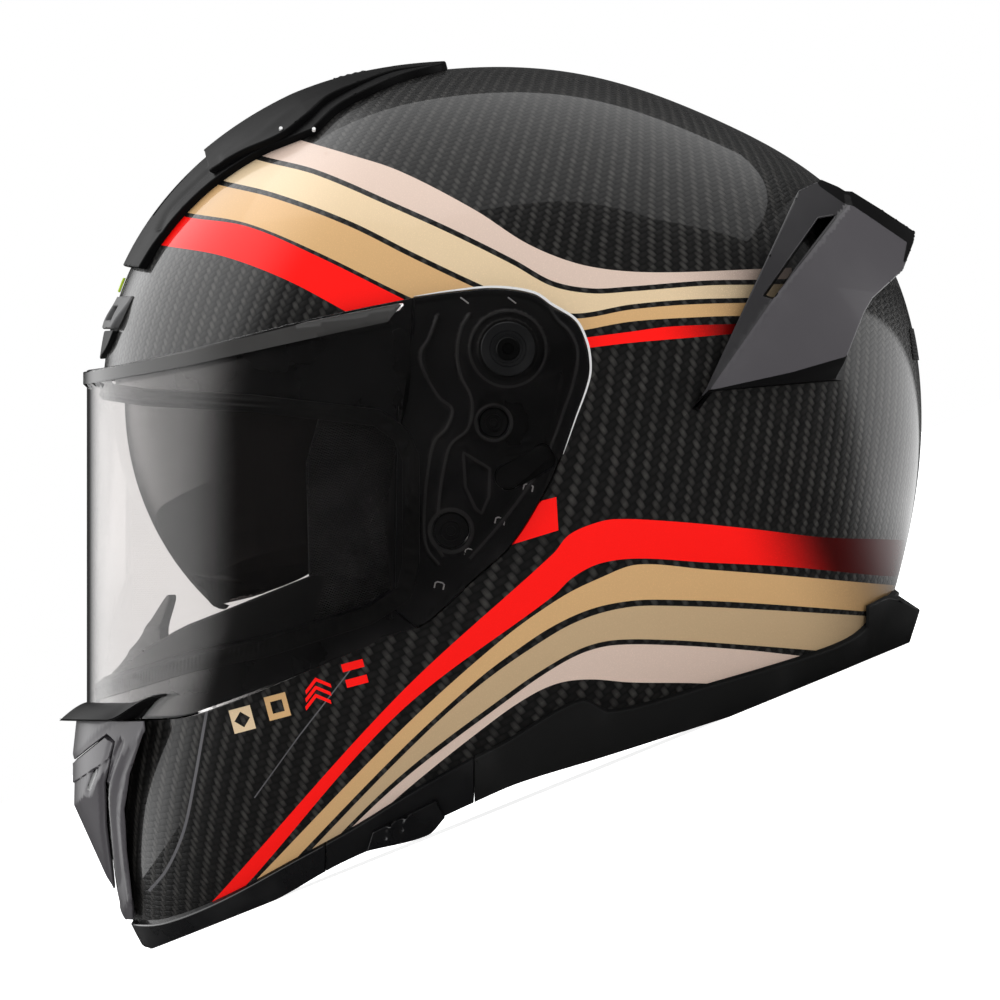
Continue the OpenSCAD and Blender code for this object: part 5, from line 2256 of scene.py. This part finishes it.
@dataclass
class ChinVentWork(Assembly):
    """The chin vent: its frame, the flap that tips to open it, and the mesh behind.

    The frame and the flap have two finishes: 0 for the body and 1 for the grooves.
    """

    mesh_half: float = 16.0
    wall: float = 2.4
    set_back: float = 1.0
    flap_line: Line = ((-175, -148), (-155, -147), (-142.7, -137.2), (-140.2, -139.5), (-143.8, -154.4),
                       (-143.4, -170.4), (-141.3, -188.2), (-140.6, -193.8), (-175, -193.8))

    def finishes(self) -> Materials:
        """The body's finish and the grooves' finish."""
        return [self.palette.graphite, self.palette.gloss]

    def frame(self) -> None:
        """Builds the frame, down to the shell."""
        outline = straight([(-175, -131.9), (-129.4, -131.9), (-128.9, -135.3), (-134.2, -150.9), (-136.3, -163.3),
                            (-135.6, -177.5), (-133.8, -195.3), (-133.8, -203), (-175, -203)])
        groove = ridge(seen([(122, 742), (107, 785), (108, 830), (114, 890), (117, 905)]), 0.9, -1.4)
        edge = ridge(seen([(144, 733), (129, 775), (123, 810), (125, 850), (130, 900)]), 1.0, 0.7)
        strips = [(ribbon(curved(seen([(107, 785), (108, 830), (114, 890)]), closed=False), 1.0), 1),
                  (ribbon(curved(seen([(128, 778), (123, 810), (125, 850), (129, 895)]), closed=False), 0.8), 0)]
        panel = Panel(CHIN, outline, -self.wall, -self.set_back, holes=[grown(straight(self.flap_line), 0.5)],
                      relief=together(groove, edge), edge=0.4, grain=1.2, regions=strips,
                      foot=foot_on_shell(CHIN, 1.25, 1.45))
        self.keep(panel.build("chin_vent_frame", self.finishes()), "helmet", "gloss_black", "chin_vent")

    def flap(self) -> None:
        """Builds the flap, with a raised chevron along its top and a slanted intake on each side."""
        slot = ridge(seen([(95, 772), (87, 792)]), 0.9, -1.2)
        side = curved(self.flap_line[3:8], range(5), False, 1.0)
        chevron = straight([(-175, -147.5), (-155, -146.5), (-142.7, -136.7), (-139.7, -139), (-142, -145),
                            (-155, -153.6), (-175, -154.6)])
        mouth = ribbon(curved(seen([(95, 772), (87, 792)]), closed=False), 0.8)

        def facets(p: Points) -> Points:
            """The chevron, the intakes and the bevelled sides.

            Args:
                p: The worn places.

            Returns:
                One height for each place.
            """
            q = p[:, 1:]
            low = -0.8 * eased(np.where(inside(q, chevron), 0.0, distance_to(q, chevron, True)), 0.15, 0.85)
            return low - 0.6 * (1 - eased(distance_to(q, side), 0.3, 1.8)) + slot(p)

        panel = Panel(CHIN, straight(self.flap_line), -self.wall, 0.0, relief=facets, edge=0.4, grain=1.1,
                      regions=[(grown(chevron, 0.9), 0), (chevron, 0), (mouth, 1)])
        self.keep(panel.build("chin_vent_flap_cover", self.finishes()), "chin_vent_flap", "gloss_black",
                  "chin_vent_flap")

    def build(self) -> None:
        """Builds the vent."""
        self.frame()
        self.flap()
        half = self.mesh_half
        line = straight([(half, -149), (-half, -149), (-half + 2, -175), (half - 2, -175)])
        mesh = wire_tree("chin_mesh", self.palette.matte, MESH_WIRE).run(
            crossed(line, MESH_PITCH, lambda c: SHELL_FRONT.place(c, 0.5)), "chin_vent_mesh_screen")
        self.keep(mesh, "helmet", "mesh", "chin_vent_mesh")


@dataclass
class BrowVentWork(Assembly):
    """The grey brow vent with its small slider, and the seal over the visor."""

    rise: float = 3.0

    def build(self) -> None:
        """Builds the vent, its slider and the seal."""
        coats = self.palette
        vent = straight([(-175, 7.5), (-138, 7.5), (-132.5, 19), (-175, 19)])
        slot = straight([(6, 10.6), (27, 10.6), (25, 15.6), (6, 15.6)], 0.8)
        panel = Panel(SHELL, SHELL.chart(vent), 0.05, self.rise, holes=[front_chart(SHELL, slot)], edge=0.8,
                      grain=1.6, charted=True, relief=lambda p: -2.3 * eased(p[:, 2], 9.0, 20.0))
        self.keep(panel.build("brow_vent_cover", [coats.grey]), "helmet", "grey", "brow_vent")
        slider = front_chart(SHELL, straight([(0, 20.5), (5, 20.5), (5, 25.5), (0, 25.5)], 0.7))
        panel = Panel(SHELL, slider, 0.3, self.rise - 1.8, edge=0.4, grain=0.7, charted=True)
        self.keep(panel.build("brow_vent_slider_tab", [coats.green]), "brow_vent_slider", "green",
                  "brow_vent_slider")
        seal = curved([(-175, -6), (-146, -6), (-141, 0), (-138, 6.8), (-175, 6.8)], (0, 1, 3, 4))
        panel = Panel(SHELL, seal, 0.05, self.rise - 1, edge=0.5, grain=1.8)
        self.keep(panel.build("brow_seal_rubber", [coats.rubber]), "helmet", "rubber", "brow_seal")


@dataclass
class CrownVentWork(Assembly):
    """The long crown vent: its wing, front lip, slider and mesh."""

    rise: float = 5.5
    sink: float = 0.09
    sink_over: Pair = (50.0, 90.0)
    lip: float = 3.0
    knob: float = 0.3

    def form(self) -> Form:
        """The wing's outer form, which sinks towards its rear end.

        Returns:
            The form.
        """

        def radius(angle: Points) -> Points:
            """The wing's centre line radius."""
            fall = np.clip(np.degrees(angle) % 360, *self.sink_over) - self.sink_over[0]
            return shell_radius(angle) + self.rise - self.sink * fall

        return Form(radius, SHELL_HALF + self.rise)

    def build(self) -> None:
        """Builds the vent."""
        coats, form = self.palette, self.form()
        wing = curved([(-106, 63.5), (-94, 70.5), (-80.2, 76.7), (-72, 83), (-64.3, 89.5), (-52, 95.5),
                       (-40.5, 99.5), (-26, 101.5), (-18, 104), (-24, 170), (-140, 170), (-118, 80), (-108, 71)],
                      (0, 8, 9, 10, 12))
        slot = top_chart(form, straight([(0, -62.3), (6.3, -62.3), (6.3, -41.7), (0, -41.7)], 0.8))
        spine = seen([(225, 158), (262, 134), (300, 106), (340, 92), (420, 72)])
        panel = Panel(form, form.chart(wing), -2.4, 0.0, holes=[slot], edge=0.8, grain=1.9, charted=True,
                      relief=ridge(spine, 1.4, 0.4), foot=lambda c: SHELL.place(c, 0.1))
        self.keep(panel.build("crown_vent_wing", [coats.deep]), "helmet", "gloss_black", "crown_vent")
        lip = curved([(-170, 36), (-128.2, 28.4), (-122.5, 37.3), (-113.2, 48.6), (-102.2, 58.6), (-87.3, 68.2),
                      (-73.8, 73.8), (-67.8, 76), (-59.3, 84.1), (-50.4, 89.1), (-36.9, 95.1), (-22.4, 99),
                      (-19, 103), (-24, 170), (-170, 170)], (0, 1, 6, 7, 11, 12, 13, 14))
        intake = front_chart(SHELL, straight([(2, 47), (15, 47), (13, 60), (2, 62)], 0.9))
        panel = Panel(SHELL, SHELL.chart(lip), 0.05, self.lip, edge=0.8, grain=1.9, holes=[intake], charted=True,
                      relief=ridge(seen([(160, 229), (170, 209), (209, 171)]), 1.0, -1.2))
        self.keep(panel.build("crown_vent_lip", [coats.deep]), "helmet", "gloss_black")
        knob = top_chart(form, straight([(0, -62), (6, -62), (6, -50), (0, -50)], 0.8))
        panel = Panel(form, knob, -2.4, self.knob, edge=0.5, grain=0.8, charted=True,
                      relief=lambda p: 0.15 * np.sin(p[:, 1] * 2.4) - 0.15)
        self.keep(panel.build("crown_vent_slider_knob", [coats.satin]), "crown_vent_slider", "satin_black",
                  "crown_vent_slider")
        screen = straight([(-17.5, 42.5), (17.5, 42.5), (17.5, 64), (-17.5, 64)], 1.2)
        mesh = wire_tree("crown_mesh", coats.matte, MESH_WIRE).run(
            crossed(screen, MESH_PITCH, lambda c: SHELL_FRONT.place(c, 0.5)), "crown_vent_mesh_screen")
        self.keep(mesh, "helmet", "mesh", "crown_vent_mesh")
        places = [form.place(form.chart(np.array(seen([(u - 1, v), (u + 1, v)]))), 0.1)
                  for u, v in ((282, 131), (315, 132))]
        pins = [np.stack([pin.mean(0) * [side, 1, 1], pin.mean(0) * [side, 1, 1] + [0.5 * side, 0, 0.4]])
                for pin in places for side in (1, -1)]
        rivets = rod_tree("crown_rivets", self.palette.bevel, 2.0, 0.5, 1.3).run(pins, "crown_vent_rivets")
        self.keep(rivets, "helmet", "steel")


@dataclass
class SpoilerWork(Assembly):
    """The rear spoiler with its slots, and the exhaust mesh below it.

    The spoiler has three finishes: 0 for its side faces, 1 for its black edges and 2 for the rest.
    """

    rise: float = 14.0
    half: float = 130.5
    bevel: float = 3.0
    step: float = 1.5

    def build(self) -> None:
        """Builds the spoiler and the mesh."""
        coats = self.palette
        form = Form(lambda a: shell_radius(a) + self.rise, self.half)
        outline = curved([(67, -22), (104, 57), (112, 61), (118, 58.5), (132, 50), (144.5, 42), (144, 38),
                          (140, 28), (129, 18), (126, 13), (120, -2), (118, -11), (72, -15)], range(13), True)
        slot = curved([(91, 19), (111, 47), (117, 48), (94, 18)], range(4), True, 1.0)
        crease = np.array(seen([(711, 389), (775, 297), (849, 205)]))
        lower = np.array(seen([(600, 412), (711, 389), (790, 372), (845, 357), (900, 345)]))
        side = straight(seen([(711, 389), (775, 297), (849, 205), (880, 150), (990, 200), (950, 420), (711, 420)]))
        black = [straight(seen(line)) for line in (
            [(680, 425), (709, 391), (790, 373), (845, 357), (880, 345), (880, 400)],
            [(800, 150), (822, 186), (849, 205), (906, 243), (902, 262), (940, 300), (960, 200)])]

        def facets(p: Points) -> Points:
            """The side face stands over the front blade, and falls away under its lower edge.

            Args:
                p: The worn places.

            Returns:
                One height for each place.
            """
            q = p[:, 1:]
            behind = q[:, 0] - np.interp(q[:, 1], crease[:, 1], crease[:, 0])
            under = np.interp(q[:, 0], lower[:, 0], lower[:, 1]) - q[:, 1]
            return self.step * (eased(behind, -0.3, 0.5) - 1) - self.bevel * eased(under, 0.0, 9.0)

        panel = Panel(form, outline, -2.0, 0.0, holes=[slot], edge=0.7, grain=1.5, relief=facets,
                      finish=2, regions=[(side, 0)] + [(region, 1) for region in black],
                      foot=foot_on_shell(form, 0.95, 1.3))
        self.keep(panel.build("rear_spoiler_wing", [coats.graphite, coats.deep, coats.slate]), "helmet",
                  "gloss_black", "rear_spoiler")
        line = straight([(-25.5, -3.5), (25.5, -3.5), (21.5, 7.5), (-21.5, 7.5)], 1.5)
        mesh = wire_tree("exhaust_mesh", coats.matte, MESH_WIRE).run(
            crossed(line, 1.8, lambda c: SHELL.place(front_chart(SHELL, c, back=True), 0.25)
                    * np.stack([np.sign(c[:, 0] + 1e-9), np.ones(len(c)), np.ones(len(c))], 1)),
            "exhaust_mesh_screen")
        self.keep(mesh, "helmet", "mesh", "exhaust_mesh")


@dataclass
class ChinStrap(Assembly):
    """The chin strap, its rivets and its buckle."""

    width: float = 24.0
    thick: float = 2.0
    at_y: float = -18.0
    stitch_in: float = 2.5
    rib: float = 0.12

    def strap(self, side: Side) -> None:
        """Builds one half of the strap, with its stitches.

        Args:
            side: The left or the right.
        """
        sign, name = side.value, side.word
        path = curved([(115.1, -82), (112.1, -110), (104.1, -136), (92.1, -147), (70.1, -151), (16, -152)],
                      closed=False, step=2.0)
        out = sideways(path) * self.thick / 2
        share = np.linspace(-0.5, 0.5, 13)
        weave = self.rib * np.cos(np.arange(len(share)) * math.pi)
        cloud = Cloud()
        grids = []
        for face in (1, -1):
            offset = out[:, None, :] * face * (1 - (2 * np.abs(share[None, :, None])) ** 8 * 0.6)
            xz = path[:, None, :] + offset
            y = np.broadcast_to(self.at_y + share * self.width, xz.shape[:2])
            grids.append(np.stack([sign * (xz[..., 0] + face * weave), y, xz[..., 1]], 2))
        flip = sign < 0
        add_grid(cloud, grids[0], not flip)
        add_grid(cloud, grids[1], flip)
        for edge, turned in ((0, True), (-1, False)):
            add_grid(cloud, np.stack([grids[0][:, edge], grids[1][:, edge]], 1), turned != flip)
            add_grid(cloud, np.stack([grids[0][edge], grids[1][edge]], 1), turned == flip)
        self.keep(cloud.build(f"chin_strap_{name}", [self.palette.webbing]), "helmet", "webbing", f"strap_{name}")
        half = self.width / 2 - self.stitch_in
        run = path[4:-4] + out[4:-4]
        rows = [np.stack([sign * run[:, 0], np.full(len(run), self.at_y + row), run[:, 1]], 1)
                for row in (-half, half)]
        stitches = rod_tree(f"strap_stitches_{name}", self.palette.thread, 3.4, 2.2, 0.6).run(
            rows, f"strap_{name}_stitches")
        self.keep(stitches, "helmet", "webbing")

    def build(self) -> None:
        """Builds the strap, and gives its rivets and buckle their finishes."""
        for side in SIDES:
            self.strap(side)
        repaint("strap_rivets", self.palette.steel)
        repaint("buckle_body", self.palette.satin)
        repaint("buckle_lever", self.palette.lever_red)


# Studio


WHITE: Colour = (1.0, 1.0, 1.0)


@dataclass(frozen=True)
class Lamp:
    """A soft rectangular lamp that faces the helmet.

    Its place is in metres from the helmet's middle, its size in metres and its power in watts.
    """

    name: str
    at: tuple[float, float, float]
    size: Pair
    power: float
    mirrored: bool


@dataclass
class Studio:
    """Camera, lamps, world and floor.

    The helmet stands before white. Mirrors see a dark room with a soft glow in front of the helmet and above
    it, and a pale strip of the floor behind it.
    """

    distance: float = 15.0
    view: float = 0.355
    sensor: float = 36.0
    aim: tuple[float, float, float] = (0.0, 0.0051, 0.1013)
    lamps: tuple[Lamp, ...] = (Lamp("overhead", (-0.5, 0.9, 2.4), (3.4, 4.4), 28, True),
                               Lamp("rear", (-1.6, 2.2, 0.3), (1.0, 2.2), 12, False))
    mirrored: float = 0.04
    glow: float = 1.5
    glow_from: tuple[float, float, float] = (-0.45, -0.683, 0.578)
    glow_edge: float = 0.62
    glow_core: float = 0.9
    lit: float = 1.15
    floor_half: float = 30.0
    floor_pale: Colour = (0.8, 0.8, 0.8)
    floor_mirrored: Colour = (0.05, 0.05, 0.05)
    floor_glow: float = 0.88
    strip_near: Pair = (0.06, -0.02)
    strip_far: Pair = (-0.8, -0.55)
    strip_back: Pair = (0.12, 0.22)

    def camera(self) -> None:
        """Sets the photograph's camera: from the wearer's left, rolled by the helmet's tilt."""
        data = bpy.data.cameras.new("camera")
        data.sensor_width = self.sensor
        data.lens = self.sensor * self.distance / self.view
        data.clip_end = self.distance * 4
        item = placed("camera", data)
        right = Vector((0, math.cos(WORN_TILT), -math.sin(WORN_TILT)))
        up = Vector((0, math.sin(WORN_TILT), math.cos(WORN_TILT)))
        turn = Matrix((right, up, right.cross(up))).transposed().to_4x4()
        item.matrix_world = Matrix.Translation(Vector(self.aim) + Vector((self.distance, 0, 0))) @ turn
        bpy.context.scene.camera = item

    def lamp(self, lamp: Lamp) -> None:
        """Adds a lamp.

        Args:
            lamp: The lamp.
        """
        data = bpy.data.lights.new(lamp.name, "AREA")
        data.shape, data.energy = "RECTANGLE", lamp.power
        data.size, data.size_y = lamp.size
        item = placed(lamp.name, data)
        item.visible_glossy = lamp.mirrored
        turn = (-Vector(lamp.at)).to_track_quat("-Z", "Y").to_matrix().to_4x4()
        item.matrix_world = Matrix.Translation(Vector(self.aim) + Vector(lamp.at)) @ turn

    def world(self) -> None:
        """Makes a world that is white to the eye, even on matt faces and a soft glow in mirrors."""
        world = bpy.data.worlds.new("studio")
        bpy.context.scene.world = world
        world.use_nodes = True
        t = Nodes(world.node_tree)
        ray = t.outputs("LightPath")
        way = t.node("TexCoord", output="Generated")
        towards = t.node("VectorMath", {0: way, 1: self.glow_from}, "Value", operation="DOT_PRODUCT")
        glow = t.ramp(towards, self.glow_edge, self.glow_core, self.mirrored, self.glow)
        bounced = t.node("MapRange", {0: ray["Glossy Depth"], 3: self.lit, 4: glow})
        backdrop = t.tree.nodes["Background"].inputs
        t.wire(backdrop["Strength"], t.node("MapRange", {0: self.direct(t, ray), 3: bounced, 4: 1.0}))
        t.wire(backdrop["Color"], WHITE)

    def direct(self, nodes: Nodes, ray: bpy.types.NodeOutputs) -> Socket:
        """1 for a ray from the camera, or through glass alone."""
        return nodes.math("LESS_THAN", nodes.math("ADD", ray["Glossy Depth"], ray["Diffuse Depth"]), 0.5)

    def floor(self) -> None:
        """Lays a white floor that keeps the helmet's shadow."""
        mesh = bpy.data.meshes.new("floor")
        corners = [(x * self.floor_half, y * self.floor_half, 0) for x, y in ((-1, -1), (1, -1), (1, 1), (-1, 1))]
        mesh.from_pydata(corners, [], [(0, 1, 2, 3)])
        s = Shader("floor_white")
        ray = s.outputs("LightPath")
        mirrored = s.math("GREATER_THAN", ray["Glossy Depth"], 0.5)
        x, y = s.outputs("SeparateXYZ", {0: s.place()})[:2]
        across = s.math("MULTIPLY", s.ramp(x, *self.strip_near), s.ramp(x, *self.strip_far))
        strip = s.math("MULTIPLY", across, s.ramp(y, *self.strip_back))
        s.set(Base_Color=s.mix(mirrored, self.floor_pale, self.floor_mirrored), Roughness=0.9,
              Specular_IOR_Level=0.0, Emission_Color=WHITE,
              Emission_Strength=s.math("MULTIPLY_ADD", self.direct(s, ray), self.floor_glow,
                                       s.math("MULTIPLY", mirrored, strip)))
        mesh.materials.append(s.material)
        placed("floor", mesh)

    def build(self) -> None:
        """Sets up the studio."""
        bpy.context.scene.view_settings.view_transform = "Standard"
        self.camera()
        self.world()
        self.floor()
        for lamp in self.lamps:
            self.lamp(lamp)


def main() -> None:
    """Builds every sub-assembly, then the studio."""
    logging.basicConfig(level=logging.INFO, format="%(message)s")
    palette = Palette()
    Studio().build()
    count = 0
    for kind in (ShellWork, PortGasket, RimTrim, SidePlates, VisorWork, SunVisorWork, Lining, ChinVentWork,
                 BrowVentWork, CrownVentWork, SpoilerWork, ChinStrap):
        group = kind(palette)
        group.build()
        count += len(group.made)
    LOG.info("%d pieces", count)


if __name__ == "__main__":
    main()
